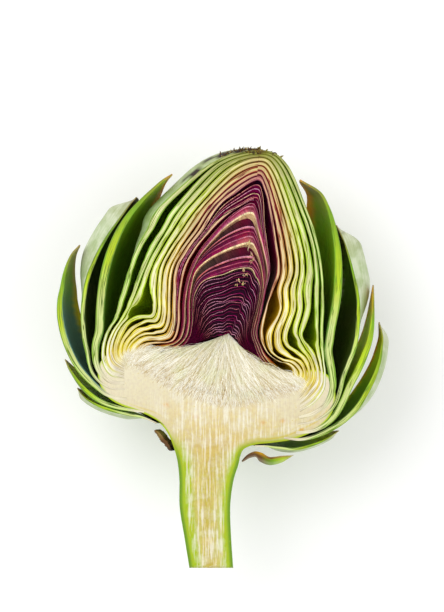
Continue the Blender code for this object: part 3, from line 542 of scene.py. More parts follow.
def stops(names, at, places=None):
    """Colours at shares of a length, blended between the named tones at their places."""
    colours = palette()
    known = np.array([colours[name] for name in names.split()])
    if places is None:
        places = np.linspace(0, 1, len(known))
    return np.stack([np.interp(at, places, known[:, k]) for k in range(3)], axis=-1)


def layer_tones(table, layer, station):
    """Colours from a table of tones, blended by layer and by station."""
    keys = sorted(table)
    colours = np.array([stops(table[key], station, TONE_STATIONS) for key in keys])
    share = np.interp(layer, keys, np.arange(len(keys)))
    low = np.minimum(share.astype(int), len(keys) - 2)
    part = (share - low)[..., None]
    rows, columns = np.indices(layer.shape)
    return colours[low, rows, columns] * (1 - part) + colours[low + 1, rows, columns] * part


# ---------------------------------------------------------------- shapes


def smooth_step(value, begin=0.0, end=1.0):
    """0 below begin, 1 above end and 3x^2 - 2x^3 between."""
    share = np.clip((value - begin) / (end - begin), 0, 1)
    return share * share * (3 - 2 * share)


def ripple(along, seed, lowest=2.0, count=5):
    """Irregular waviness: a sum of sines, each finer and weaker, placed by the seed."""
    random = np.random.default_rng(int(seed))
    rates = lowest * 1.8 ** np.arange(count) * random.uniform(0.8, 1.25, count)
    phases = random.uniform(0, 2 * np.pi, count)
    strengths = 0.62 ** np.arange(count)
    return (np.sin(np.asarray(along)[..., None] * rates + phases) * strengths).sum(-1) / 2


def catmull(table, which, at):
    """Points on Catmull-Rom curves: curve number which, at a fractional station.

    Each point blends four neighbours: p1 + f (p2 - p0) / 2 and the square and cubic terms
    that make the direction run on smoothly from one known point to the next.
    """
    known = np.asarray(table, float)
    padded = np.concatenate([2 * known[:, :1] - known[:, 1:2], known,
                             2 * known[:, -1:] - known[:, -2:-1]], axis=1)
    index = np.clip(at.astype(int), 0, known.shape[1] - 2)
    f = (at - index)[..., None]
    p0, p1, p2, p3 = (padded[which, index + shift] for shift in range(4))
    bend = 2 * p0 - 5 * p1 + 4 * p2 - p3
    swing = 3 * p1 - p0 - 3 * p2 + p3
    return 0.5 * (2 * p1 + (p2 - p0) * f + bend * f**2 + swing * f**3)


def one_curve(points, at):
    """Points on one Catmull-Rom curve at fractional stations."""
    at = np.asarray(at, float)
    return catmull([points], np.zeros(at.shape, int), at)


def even_curve(points, share):
    """Points on the same curve at shares of its length."""
    fine = one_curve(points, np.linspace(0, len(points) - 1, 40 * len(points)))
    length = np.append(0, np.cumsum(np.linalg.norm(np.diff(fine, axis=0), axis=1)))
    at = np.asarray(share) * length[-1]
    return np.stack([np.interp(at, length, fine[:, k]) for k in range(2)], axis=-1)


def joined_guides(side):
    """Guide sections of one side, ending at a crest that both sides share.

    One point of the other side is added past the crest, so that curves run over it evenly.
    """
    own, other = ((LEFT_GUIDES, RIGHT_GUIDES), (RIGHT_GUIDES, LEFT_GUIDES))[side]
    layers = sorted(CREST)
    joined = {}
    for key, points in own.items():
        ends = [points[-2], points[-1], other[key][-2] if key in other else points[-1]]
        if key <= layers[-1]:
            parts = [[CREST[layer][k] for layer in layers] for k in (side, 2, 1 - side)]
            ends = [[np.interp(key, layers, np.array(part)[:, k]) for k in range(2)]
                    for part in parts]
        joined[key] = np.array(list(points[:-2]) + ends, float)
    return joined


def layer_points(guides, layer, station):
    """Cut-face points of any layer: straight blends between the neighbouring guides."""
    keys = sorted(guides)
    table = [guides[key] for key in keys]
    upper = np.clip(np.searchsorted(keys, layer), 1, len(keys) - 1)
    low, high = np.array(keys)[upper - 1], np.array(keys)[upper]
    share = ((layer - low) / (high - low))[..., None]
    at = station * (len(table[0]) - 2)
    return catmull(table, upper - 1, at) * (1 - share) + catmull(table, upper, at) * share


def hoop(left, right, angle, depth_scale=1.0):
    """Half circles that join left and right points of the cut face and dip below it.

    The point at an angle is middle + reach cos(angle) across, and reach sin(angle) deep.
    """
    middle = (left + right) / 2
    reach = (right - left) / 2
    flat = middle + reach * np.cos(angle)[..., None]
    depth = reach[..., 0] * np.sin(angle) * depth_scale
    return np.stack([flat[..., 0], flat[..., 1], CUT_HEIGHT - depth], axis=-1)


def layer_surface(layer, station, angle, right_layer=None):
    """Hoops through both cut-face sections of a layer, or of one layer on each side."""
    left = layer_points(joined_guides(0), layer, station)
    other = layer if right_layer is None else right_layer
    right = layer_points(joined_guides(1), other, station)
    return hoop(left, right, angle)


def leaf_stations():
    """Stations of the rows of a leaf, with close rows at both ends for crisp ends."""
    rows = bpy.context.scene.artichoke_sizes.leaf_rows
    return np.concatenate([[0], np.linspace(0.0015, 0.9985, rows - 2), [1]])


def turn_steps(count, cut_start, cut_end):
    """Shares across a leaf, with two close steps beside each cut edge for a crisp corner."""
    inner = np.linspace(0, 1, count)[1:-1]
    start = [0.0, 0.003, 0.012] if cut_start else [0.0, 0.01]
    end = [0.988, 0.997, 1.0] if cut_end else [0.99, 1.0]
    return np.concatenate([start, inner, end])


def shell(outer, inner, across, cut_start, cut_end, seed):
    """One closed skin round a leaf, given its outer and inner faces as matching grids.

    Each row runs back along the inner face, over the cut edge, out along the outer face
    and over the other edge. depth is -1 on the outer face and 1 on the inner face.
    """
    rows = len(outer)
    points = [inner[:, ::-1]]
    depth = [np.ones(len(across))]
    share = [across[::-1]]
    cut = [np.zeros(len(across))]

    def add_edge(column, steps):
        """Adds the points over one cut edge."""
        part = ((1 - steps) / 2)[None, :, None]
        points.append(inner[:, column, None] * (1 - part) + outer[:, column, None] * part)
        depth.append(steps)
        share.append(np.full(len(steps), across[column]))
        cut.append(np.ones(len(steps)))

    if cut_start:
        add_edge(0, CUT_STEPS)
    points.append(outer)
    depth.append(-np.ones(len(across)))
    share.append(across)
    cut.append(np.zeros(len(across)))
    if cut_end:
        add_edge(-1, CUT_STEPS[::-1])
    points = np.concatenate(points, axis=1)
    step_round = np.linalg.norm(np.diff(points, axis=1), axis=2)
    around = np.concatenate([np.zeros((rows, 1)), np.cumsum(step_round, axis=1)], axis=1)
    origin = len(across) - 1 if cut_start else len(across) + len(across) // 2
    around = around - around[:, origin, None]
    step_up = np.linalg.norm(np.diff(points, axis=0), axis=2).mean(axis=1)
    along = np.append(0, np.cumsum(step_up))
    fields = {
        "place": points,
        "station": np.broadcast_to(np.linspace(0, 1, rows)[:, None], points.shape[:2]),
        "depth": np.broadcast_to(np.concatenate(depth), points.shape[:2]),
        "across": np.broadcast_to(np.concatenate(share), points.shape[:2]),
        "cut": np.broadcast_to(np.concatenate(cut), points.shape[:2]),
        "grain": np.stack([around, np.broadcast_to(along[:, None], around.shape),
                           np.full(around.shape, 9.7 * seed)], axis=-1),
    }
    return points, fields


def capped(grid):
    """The grid with its first and last rows repeated as single points, so it closes."""
    first = np.broadcast_to(grid[:1].mean(axis=1, keepdims=True), grid[:1].shape)
    last = np.broadcast_to(grid[-1:].mean(axis=1, keepdims=True), grid[-1:].shape)
    return np.concatenate([first, grid, last])


def grid_quads(rows, columns, first=0, closed=False):
    """Four-cornered faces over a grid of numbered points, wrapped round if closed."""
    ids = first + np.arange(rows * columns).reshape(rows, columns)
    if closed:
        ids = np.concatenate([ids, ids[:, :1]], axis=1)
    corners = [ids[:-1, :-1], ids[:-1, 1:], ids[1:, 1:], ids[1:, :-1]]
    return np.stack([corner.ravel() for corner in corners], axis=-1)


def make_piece(name, points, faces, fields, material):
    """A smooth mesh object from points in millimetres, lists of faces and values per point.

    Points that lie on each other are merged, and the faces are turned outwards.
    """
    mesh = bpy.data.meshes.new(name)
    points = np.asarray(points, float).reshape(-1, 3)
    sizes = np.concatenate([np.full(len(part), part.shape[1]) for part in faces])
    corners = np.concatenate([part.ravel() for part in faces])
    mesh.vertices.add(len(points))
    mesh.vertices.foreach_set("co", (points * MM).ravel())
    mesh.loops.add(len(corners))
    mesh.loops.foreach_set("vertex_index", corners.astype(np.int32))
    mesh.polygons.add(len(sizes))
    mesh.polygons.foreach_set("loop_start", (np.cumsum(sizes) - sizes).astype(np.int32))
    mesh.update(calc_edges=True)
    for key, values in fields.items():
        set_field(mesh, key, np.asarray(values, float), len(points))
    work = bmesh.new()
    work.from_mesh(mesh)
    bmesh.ops.remove_doubles(work, verts=work.verts, dist=1e-7)
    bmesh.ops.recalc_face_normals(work, faces=work.faces)
    work.to_mesh(mesh)
    work.free()
    mesh.shade_smooth()
    mesh.materials.append(material)
    piece = bpy.data.objects.new(name, mesh)
    bpy.context.scene.collection.objects.link(piece)
    return piece


def set_field(mesh, key, values, count):
    """Stores one value, vector or colour per point of the mesh."""
    values = values.reshape(count, -1)
    if values.shape[1] == 1:
        mesh.attributes.new(key, "FLOAT", "POINT").data.foreach_set("value", values.ravel())
    elif key == "grain":
        field = mesh.attributes.new(key, "FLOAT_VECTOR", "POINT")
        field.data.foreach_set("vector", values.ravel())
    else:
        field = mesh.attributes.new(key, "FLOAT_COLOR", "POINT")
        rgba = np.concatenate([values, np.ones((count, 1))], axis=1)
        field.data.foreach_set("color", rgba.ravel())


def settle(piece, slot, *nodes):
    """Ties a finished piece to the part's body and hides the solids it stands for. The slot is not used.
    """
    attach(piece, "root")
    if nodes:
        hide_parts(*nodes)


def make_leaf(name, sheets, material):
    """A piece of closed skins, each from two faces, its cut edges, a colouring and a seed."""
    points, faces, fields, first = [], [], [], 0
    for sheet in sheets:
        grid, values = shell(sheet["outer"], sheet["inner"], sheet["across"], *sheet["cuts"],
                             sheet["seed"])
        flesh, skin, bloom = sheet["colours"](values)
        values = {"depth": values["depth"], "cut": values["cut"], "grain": values["grain"],
                  "flesh": flesh, "skin": skin, "bloom": bloom}
        grid = capped(grid)
        points.append(grid.reshape(-1, 3))
        fields.append({key: capped(np.array(value)).reshape(len(points[-1]), -1)
                       for key, value in values.items()})
        faces.append(grid_quads(*grid.shape[:2], first, closed=True))
        first += len(points[-1])
    merged = {key: np.concatenate([each[key] for each in fields]) for key in fields[0]}
    return make_piece(name, np.concatenate(points), faces, merged, material)


# ---------------------------------------------------------------- closed leaves


def scars(place):
    """Dry streaks on the outside under the crown: long soft spots with ragged edges."""
    total = np.zeros(place.shape[:-1])
    for x, y, turn, long, wide in SCARS:
        dx, dy = place[..., 0] - x, place[..., 1] - y
        c, s = math.cos(math.radians(turn)), math.sin(math.radians(turn))
        ragged = 0.35 * ripple(dx * 3 + place[..., 2] * 2, int(long * 10))
        far = ((dx * c + dy * s) / long) ** 2 + ((dy * c - dx * s) / wide) ** 2 + ragged
        total = np.maximum(total, 1 - smooth_step(far, 0.7, 1.05))
    return total * smooth_step(place[..., 2], CUT_HEIGHT - 5, CUT_HEIGHT - 2)


def closed_colours(layer_at, scar=0.8, scarred=False):
    """Returns the colouring of a leaf whose layer is given by a function of its fields."""

    def colours(fields):
        """Flesh and skin by layer and station, dry at the tip of the outermost leaves."""
        station = fields["station"]
        layer = layer_at(fields)
        flesh = layer_tones(FLESH_TONES, layer, station)
        skin = layer_tones(SKIN_TONES, layer, station)
        dry = palette()["brown"]
        amount = smooth_step(station, 0.975, 1.0)[..., None] * scar
        amount = amount * (1 - smooth_step(layer, 0.4, 1.6))[..., None]
        # Pale bloom on the outside of the outermost leaf, partly painted highlight where it faces the
        # light.
        bloom = 0.6 * smooth_step(-fields["depth"], 0.2, 0.9) * (1 - fields["cut"])
        bloom = bloom * (1 - smooth_step(layer, 0.0, 0.6))
        if scarred:
            streak = scars(fields["place"])[..., None]
            skin = skin * (1 - streak) + palette()["char"] * streak
            bloom = bloom * (1 - streak[..., 0])
        return flesh * (1 - amount) + dry * amount, skin * (1 - amount) + dry * amount, bloom

    return colours


def fold_gap(t, places):
    """How far the faces of a leaf draw back where it folds: smooth humps at given stations."""
    total = 0 * t
    for at, width, amount in places:
        total = total + amount * np.exp(-(((t - at) / width) ** 2))
    return total


# Where each leaf's outer and inner faces draw back: station, width and how many layers.
OUTER_GAPS = {
    ("left", 3): [(0.47, 0.06, 0.5), (0.56, 0.05, 0.3)],
    ("left", 4): [(0.36, 0.05, 0.22)],
    ("left", 5): [(0.38, 0.04, 0.25)],
    ("left", 6): [(0.38, 0.04, 0.2)],
    ("left", 7): [(0.37, 0.03, 0.2), (0.62, 0.1, 0.15)],
    ("right", 2): [(0.5, 0.09, 0.55)],
    ("right", 4): [(0.47, 0.06, 0.45)],
    ("right", 5): [(0.36, 0.05, 0.35)],
    ("right", 6): [(0.42, 0.05, 0.3)],
    ("right", 7): [(0.44, 0.05, 0.25), (0.61, 0.06, 0.3)],
}
INNER_GAPS = {
    ("left", 0): [(0.7, 0.12, 0.12)],
    ("left", 2): [(0.46, 0.07, 0.38)],
    ("left", 3): [(0.34, 0.05, 0.2)],
    ("left", 4): [(0.4, 0.04, 0.15), (0.7, 0.05, 0.12)],
    ("left", 5): [(0.42, 0.05, 0.15), (0.8, 0.05, 0.15)],
    ("right", 0): [(0.62, 0.08, 0.12)],
    ("right", 1): [(0.5, 0.07, 0.35)],
    ("right", 3): [(0.48, 0.06, 0.35)],
    ("right", 4): [(0.38, 0.06, 0.2), (0.72, 0.06, 0.15)],
    ("right", 6): [(0.44, 0.04, 0.2), (0.6, 0.06, 0.42)],
}


def closed_leaf(name, side, number, layers, material):
    """A leaf of the closed bud: hoops of its outer and inner layers over a quarter turn.

    Low down its faces meet those of its neighbours, where the leaves grow together.
    """
    wave = bpy.context.scene.artichoke_sizes.waviness
    t = leaf_stations()[:, None]
    u = turn_steps(CLOSED_TURN_STEPS, True, False)[None, :]
    low, high, tip_high = layers[number]
    before = layers[number - 1][1] if number else low
    after = layers[number + 1][0] if number + 1 < len(layers) else high
    grown = 1 - smooth_step(t, 0.06, 0.31 if side == "left" else 0.25)
    low = low + (before - low) / 2 * grown
    high = high + (tip_high - high) * smooth_step(t, 0.55, 0.7)
    high = high + (after - high) / 2 * grown
    joined = smooth_step(t, 0.84, 0.99)
    low = low + (TIP_LAYERS[number][0] - low) * joined
    high = high + (TIP_LAYERS[number][1] - high) * joined
    low = low + fold_gap(t, OUTER_GAPS.get((side, number), ()))
    high = high - fold_gap(t, INNER_GAPS.get((side, number), ()))
    stray = wave * ripple(t[:, 0] * WAVE_RATE, 40 + number + 20 * (side == "right"))[:, None]
    stray = stray * (1 - grown) * (1 - smooth_step(t, 0.9, 1.0))
    middle = (low + high) / 2 + stray + 0 * u
    half = (high - low) / 2 * (1 - 0.35 * u**2) * (1 - 0.08 * (1 - grown) * (1 - joined))
    half = half * (1 + 0.12 * ripple(t * WAVE_RATE, 70 + number) * (1 - grown) * (1 - joined))
    turn = np.radians(CLOSED_TURN_DEG) * u
    angle = math.pi - turn if side == "left" else turn
    station = t + 0 * u
    outer = layer_surface(middle - half, station, angle)
    inner = layer_surface(middle + half, station, angle)
    if side == "left" and number == 0:
        away = outer - inner
        away /= np.linalg.norm(away, axis=2)[..., None] + 1e-9
        window = smooth_step(t, 0.66, 0.86) * smooth_step(1 - t, 0.0, 0.09)
        push = CROWN_BULGE * window * np.sin(math.pi * u**0.7) ** 1.2
        outer = outer + away * push[..., None]
        inner = inner + away * push[..., None]

    def layer_at(fields):
        """The layer at a depth through this leaf."""
        return (low + high) / 2 + fields["depth"] * (high - low) / 2

    plain = closed_colours(layer_at, scarred=side == "left" and number == 0)

    def colours(fields):
        """The plain colouring, with painted shade on the inner face where it walls the hollow beside the
        purple leaves.
        """
        flesh, skin, bloom = plain(fields)
        if side == "right" and number == len(layers) - 1:
            wall = smooth_step(fields["depth"], 0.4, 1.0) * (1 - fields["cut"])
            wall = (wall * smooth_step(fields["station"], 0.4, 0.55))[..., None]
            shade = stops("dusk dusk wine plum", fields["station"], [0.4, 0.66, 0.8, 0.95])
            skin = skin * (1 - wall) + shade * wall
        return flesh, skin, bloom

    sheet = {"outer": outer, "inner": inner, "across": u[0], "cuts": (True, False),
             "colours": colours, "seed": number + (30 if side == "right" else 0)}
    return make_leaf(name, [sheet], material)


# ---------------------------------------------------------------- inner leaves


def arch(layer, half, sunk, wave, seed, colours, right=None, tip=None, begin=0.0):
    """A thin sheet of a leaf over the choke: a full half turn, cut at both ends.

    sunk is how far its outer and inner faces lie below the cut face. right gives its layer
    on the right side where that differs, and tip the layer where both come together.
    """
    t = begin + (1 - begin) * leaf_stations()[:, None]
    u = turn_steps(ARCH_TURN_STEPS, True, True)[None, :]
    common = 0.16 * ripple(t[:, 0] * WAVE_RATE, 7, 1.3, 3) if layer > 11.2 else 0.0 * t[:, 0]
    stray = wave * ripple(t[:, 0] * WAVE_RATE, 200 + seed, 1.1, 3) + common
    stray = stray[:, None] * smooth_step(t, 0.0, 0.15)
    right = layer if right is None else right
    tip = layer if tip is None else tip
    meet = smooth_step(t, 0.74, 0.97)
    left_at = layer + (tip - layer) * meet + stray + 0 * u
    right_at = right + (tip - right) * meet + stray + 0 * u
    station = t + 0 * u
    drop = np.array([0.0, 0.0, 1.0])
    outer = layer_surface(left_at - half, station, u * math.pi, right_at - half) - drop * sunk[0]
    inner = layer_surface(left_at + half, station, u * math.pi, right_at + half) - drop * sunk[1]
    return {"outer": outer, "inner": inner, "across": u[0], "cuts": (True, True),
            "colours": colours, "seed": 60 + seed}


def along_tones(outside, inside, edge=None, turn=1.0):
    """Colours from foot to tip: one list for the outer face, one for the inner face.

    turn above 1 keeps the outer colours for more of the depth.
    """

    def colours(fields):
        """Tones of the outer face, fading through the depth to those of the inner face."""
        share = ((fields["depth"][..., None] + 1) / 2) ** turn
        flesh = stops(edge or outside, fields["station"])
        skin = stops(outside, fields["station"]) * (1 - share)
        skin = skin + stops(inside, fields["station"]) * share
        if edge is None:
            flesh = skin
        return flesh, skin, 0.0 * fields["station"]

    return colours


def crest_sheets():
    """Thin leaves under the crest: they hug the closed leaves on the left and the next
    purple leaf on the right, with a hollow between."""
    sheets = []
    edges = ("rose mauve blush rose", "wine magenta rose mauve", "magenta rose mauve blush",
             "wine magenta magenta rose", "rose mauve blush mauve")
    for step, edge in enumerate(edges):
        left, right, tip = 7.2 + 0.08 * step, 8.6 + 0.09 * step, 7.28 + 0.2 * step
        sheets.append(arch(left, 0.03, (0.0, 0.0), 0.03, step,
                           along_tones("wine wine", "magenta wine", edge), right, tip, 0.5))
        sheets.append(arch(left + 0.04, 0.09, (0.5, 1.3), 0.02, step + 8,
                           along_tones("plum wine magenta", "plum plum wine"), right, tip + 0.1, 0.5))
    return sheets


def inner_leaf(name, layer, material):
    """A purple leaf over the choke: a body that lies a little low and raised fine edges."""
    if layer in ARCH_BODIES:
        wall, *body = ARCH_BODIES[layer]
        sheets = [arch(layer, 0.24, (0.25, 0.1), 0.02, layer, along_tones(*body, turn=1.9))]
        for shift, half, sunk, wave, seed, outside, inside in FINE_SHEETS:
            sheets.append(arch(layer + shift, half, (sunk, sunk), wave, layer + seed,
                               along_tones(outside, inside)))
        # A sheet deep in the hollow behind the leaf, coloured with painted shade above its foot.
        sheets.append(arch(wall, 0.3, (2.6, 2.6), 0.0, layer + 40,
                           along_tones("cream dusk dusk dusk dusk wine",
                                       "cream dusk dusk dusk plum plum")))
        if layer == FIRST_ARCH_LAYER:
            sheets += crest_sheets()
        return make_leaf(name, sheets, material)
    # The sunk bodies carry painted shade: near-black on the inner face of every one, and on the outer
    # face from layer 15 on.
    fade = "plum wine plum plum plum plum" if layer < 15 else "plum plum plum char plum plum"
    sheets = [arch(layer, 0.54, (0.5, 1.0), 0.03, layer, along_tones(fade, "plum plum char plum"))]
    edges = ("wine magenta wine magenta rose mauve magenta", "plum wine magenta wine rose mauve rose",
             "wine wine magenta wine plum magenta wine")
    for step, shift in enumerate((-0.36, -0.02, 0.33)):
        sheets.append(arch(layer + shift, 0.036, (0.05, 0.05), 0.13, layer * 5 + step,
                           along_tones("wine wine", "wine plum", edges[(layer + step) % 3])))
    return make_leaf(name, sheets, material)


def crown_crumbs(material):
    """Dry crumbs on the crown: short flakes strewn along its top edge."""
    random = np.random.default_rng(31)
    count = 130
    x = random.normal(9.0, 4.6, count)
    top = np.interp(x, CROWN_X, CROWN_Y)
    y = top - np.abs(random.normal(0, 0.8, count)) + 0.2
    base = np.column_stack([x, y, random.uniform(-0.8, 0.2, count)])
    heading = np.radians(random.normal(20, 50, count))
    size = random.uniform(0.5, 1.5, count)
    radius = random.uniform(0.15, 0.55, count)
    return bits("crown_crumbs", base, size, heading, radius, "char brown char tan char brown olive",
                material, 6)


# ---------------------------------------------------------------- spread leaves


def outward_normals(points):
    """Unit normals of a grid of points, pointing away from the middle of the bud."""
    along = np.gradient(points, axis=0)
    across = np.gradient(points, axis=1)
    normal = np.cross(along, across)
    normal /= np.linalg.norm(normal, axis=2)[..., None] + 1e-9
    facing = np.sum(normal * (points - np.array([0.0, BUD_MIDDLE_Y, CUT_HEIGHT])), axis=2)
    return normal * (1.0 if facing.sum() > 0 else -1.0)


def flat_at_cut(vectors, cut):
    """Keeps the normals of a cut row inside the cut plane."""
    if cut:
        vectors[:, 0, 2] = 0
        vectors[:, 0] /= np.linalg.norm(vectors[:, 0], axis=1)[:, None]
    return vectors


# The spread leaves that differ from the rest: wide margins, the power by which a blunt tip
# narrows, pale outsides (a stronger bloom, partly painted highlight), and tones of the inside
# and of the free margin from foot to tip.
WIDE_MARGINS = ("outer_leaf_left_1", "outer_leaf_right_1", "outer_leaf_left_3")
BLUNT_TIPS = {"outer_leaf_right_1": 0.36, "outer_leaf_left_2": 0.25}
PALE_OUTSIDES = ("outer_leaf_left_2", "outer_leaf_right_2", "outer_leaf_right_4",
                 "outer_leaf_left_5", "outer_leaf_right_5")
INSIDES = {
    "outer_leaf_left_1": "forest deep_green deep_green deep_green green lime",
    "outer_leaf_left_2": "forest forest forest forest deep_green brown",
    "outer_leaf_left_3": "teal teal teal teal green tan",
    "outer_leaf_right_1": "forest deep_green deep_green green green tan",
    "outer_leaf_right_3": "forest deep_green green lime lime orange",
    "outer_leaf_right_2": "forest forest forest forest deep_green brown",
}
MARGINS = {
    "outer_leaf_left_1": "lime lime lime yellow orange orange",
    "outer_leaf_left_3": "lime lime lime yellow tan tan",
    "outer_leaf_right_1": "lime lime orange orange orange orange",
    "outer_leaf_left_2": "green green green lime brown char",
    "outer_leaf_right_2": "green green bloom bloom char char",
}


def spread_colours(name):
    """Returns the colouring of a spread leaf: green skins, pale flesh and tan margins."""

    def colours(fields):
        """Green skins, ragged withered margins, and the heart's flesh at the foot."""
        station, depth = fields["station"], fields["depth"]
        across, cut = np.abs(fields["across"]), fields["cut"]
        flesh = stops("pale_lime pale_lime pale_lime lime green tan", station)
        outside = stops("green green green green green olive", station)
        inside = stops(INSIDES.get(name, "forest forest deep_green green lime tan"), station)
        inner_side = smooth_step(depth, -0.2, 0.2)[..., None]
        skin = outside * (1 - inner_side) + inside * inner_side
        ragged = 0.035 * ripple(station * 60, len(name))
        start = 0.74 if name in WIDE_MARGINS else 0.93
        margin = smooth_step(across + 0.1 * station + ragged, start, 1.05) * (1 - cut)
        margin = np.maximum(margin, smooth_step(station + ragged, 0.955, 1.0))[..., None]
        edge = stops(MARGINS.get(name, "lime lime lime yellow orange brown"), station)
        skin = skin * (1 - margin) + edge * margin
        foot = ((1 - smooth_step(station, 0.06, 0.2)) * cut)[..., None]
        flesh = flesh * (1 - foot) + palette()["pulp"] * foot
        skin = skin * (1 - foot) + palette()["pulp"] * foot
        # Pale bloom on the outer face, partly painted highlight where it faces the light.
        bloom = (1 - inner_side[..., 0]) * (1 - cut) * (0.95 - 0.35 * margin[..., 0])
        bloom = bloom * (1.0 if name in PALE_OUTSIDES else 0.5)
        return flesh, skin, bloom

    return colours


def spread_leaf(ring, depth_scale, leaf, material, seed):
    """A spread leaf: hoops of its ring, thickened along their normals.

    Its width is full low down and falls as the square root of the distance to the tip, or
    by a smaller power if the tip is blunt.
    """
    name, place, half_width, thickness, bulge, bulge_from = leaf
    cut = place in ("left", "right")
    t = leaf_stations()
    u = turn_steps(SPREAD_TURN_STEPS, cut, False)
    if not cut:
        u = u * 2 - 1
    left = even_curve(RING_SECTIONS[f"left_{ring}"], t)[:, None] + np.zeros((1, len(u), 1))
    right = even_curve(RING_SECTIONS[f"right_{ring}"], t)[:, None] + np.zeros((1, len(u), 1))
    blunt = BLUNT_TIPS.get(name, 0.5)
    width = (0.8 + 0.2 * smooth_step(t, 0.0, 0.3)) * np.clip((1 - t) / 0.5, 0, 1) ** blunt + 0.03
    turn = np.radians(half_width) * width[:, None] * u[None, :]
    if place == "left":
        angle = math.pi - turn
    else:
        angle = turn if cut else math.radians(place) + turn
    middle = hoop(left, right, angle, depth_scale)
    normal = flat_at_cut(outward_normals(middle), cut)
    if bulge:
        window = smooth_step(t, bulge_from, bulge_from + 0.25) * smooth_step(1 - t, 0.0, 0.12)
        swell = np.sin(math.pi * u**0.7) ** 1.2
        middle = middle + normal * (bulge * window[:, None] * swell)[..., None]
        normal = flat_at_cut(outward_normals(middle), cut)
    thick = 0.4 + 0.6 * smooth_step(t, 0.0, 0.3) - 0.8 * smooth_step(t, 0.55, 1.0)
    half = thickness / 2 * (thick[:, None] * (1 - 0.6 * u**2))[..., None]
    outer = middle + normal * half
    inner = middle - normal * half
    if name == REST_LEAF:
        outer[..., 2] = np.maximum(outer[..., 2], 0)
        inner[..., 2] = np.maximum(inner[..., 2], REST_LEAF_THICKNESS)
    sheet = {"outer": outer, "inner": inner, "across": u, "cuts": (cut, False),
             "colours": spread_colours(name), "seed": seed}
    return make_leaf(name + "_skin", [sheet], material)


# ---------------------------------------------------------------- heart and stem


def mirrored_curve(left, right, share):
    """A curve from the left end to the right one, through the middle point both share."""
    last = len(left) - 1
    station = np.abs(2 * share - 1) * last
    on_left = one_curve(left, station)
    on_right = one_curve(right, station)
    return np.where((share < 0.5)[..., None], on_left, on_right)


def heart_grids(across, down):
    """The heart's grids: cut face, underside, bowl of the choke and end of the stem.

    The cut face blends four edges: the bowl above, the sides and the end of the stem.
    A point adds the two blends across and down and takes away the blend of the corners.
    """
    last = len(FLESH_SIDE_LEFT) - 1
    left = one_curve(FLESH_SIDE_LEFT, down * last)
    right = one_curve(FLESH_SIDE_RIGHT, down * last)
    bowl = mirrored_curve(FLESH_TOP_LEFT, FLESH_TOP_RIGHT, across)
    a, b = across[None, :, None], down[:, None, None]
    end = left[-1] * (1 - a[0]) + right[-1] * a[0]
    corners = (left[0] * (1 - a) + right[0] * a) * (1 - b) + end[None] * b
    flat = bowl[None] * (1 - b) + end[None] * b + left[:, None] * (1 - a) + right[:, None] * a
    flat = flat - corners
    face = np.concatenate([flat, np.full(flat.shape[:2] + (1,), CUT_HEIGHT)], axis=2)
    angle = math.pi * (1 - across)[None]
    under = hoop(left[:, None], right[:, None], angle)
    half = across[: len(across) // 2 + 1]
    rim_left = mirrored_curve(FLESH_TOP_LEFT, FLESH_TOP_RIGHT, half)
    rim_right = mirrored_curve(FLESH_TOP_LEFT, FLESH_TOP_RIGHT, 1 - half)
    rim_right[-1] = rim_left[-1]
    bowl_grid = hoop(rim_left[:, None], rim_right[:, None], angle)
    part = np.linspace(0, 1, 9)[:, None, None]
    stem_end = face[-1][None] * (1 - part) + under[-1][None] * part
    sunk = np.array([0.0, 0.0, FLESH_SUNK])
    return face - sunk, under - sunk, bowl_grid - sunk, stem_end - sunk


def bump_at(x, y, centre, size):
    """A round soft spot: exp of minus the squared distance over the squared size."""
    return np.exp(-((x - centre[0]) ** 2 + (y - centre[1]) ** 2) / size**2)


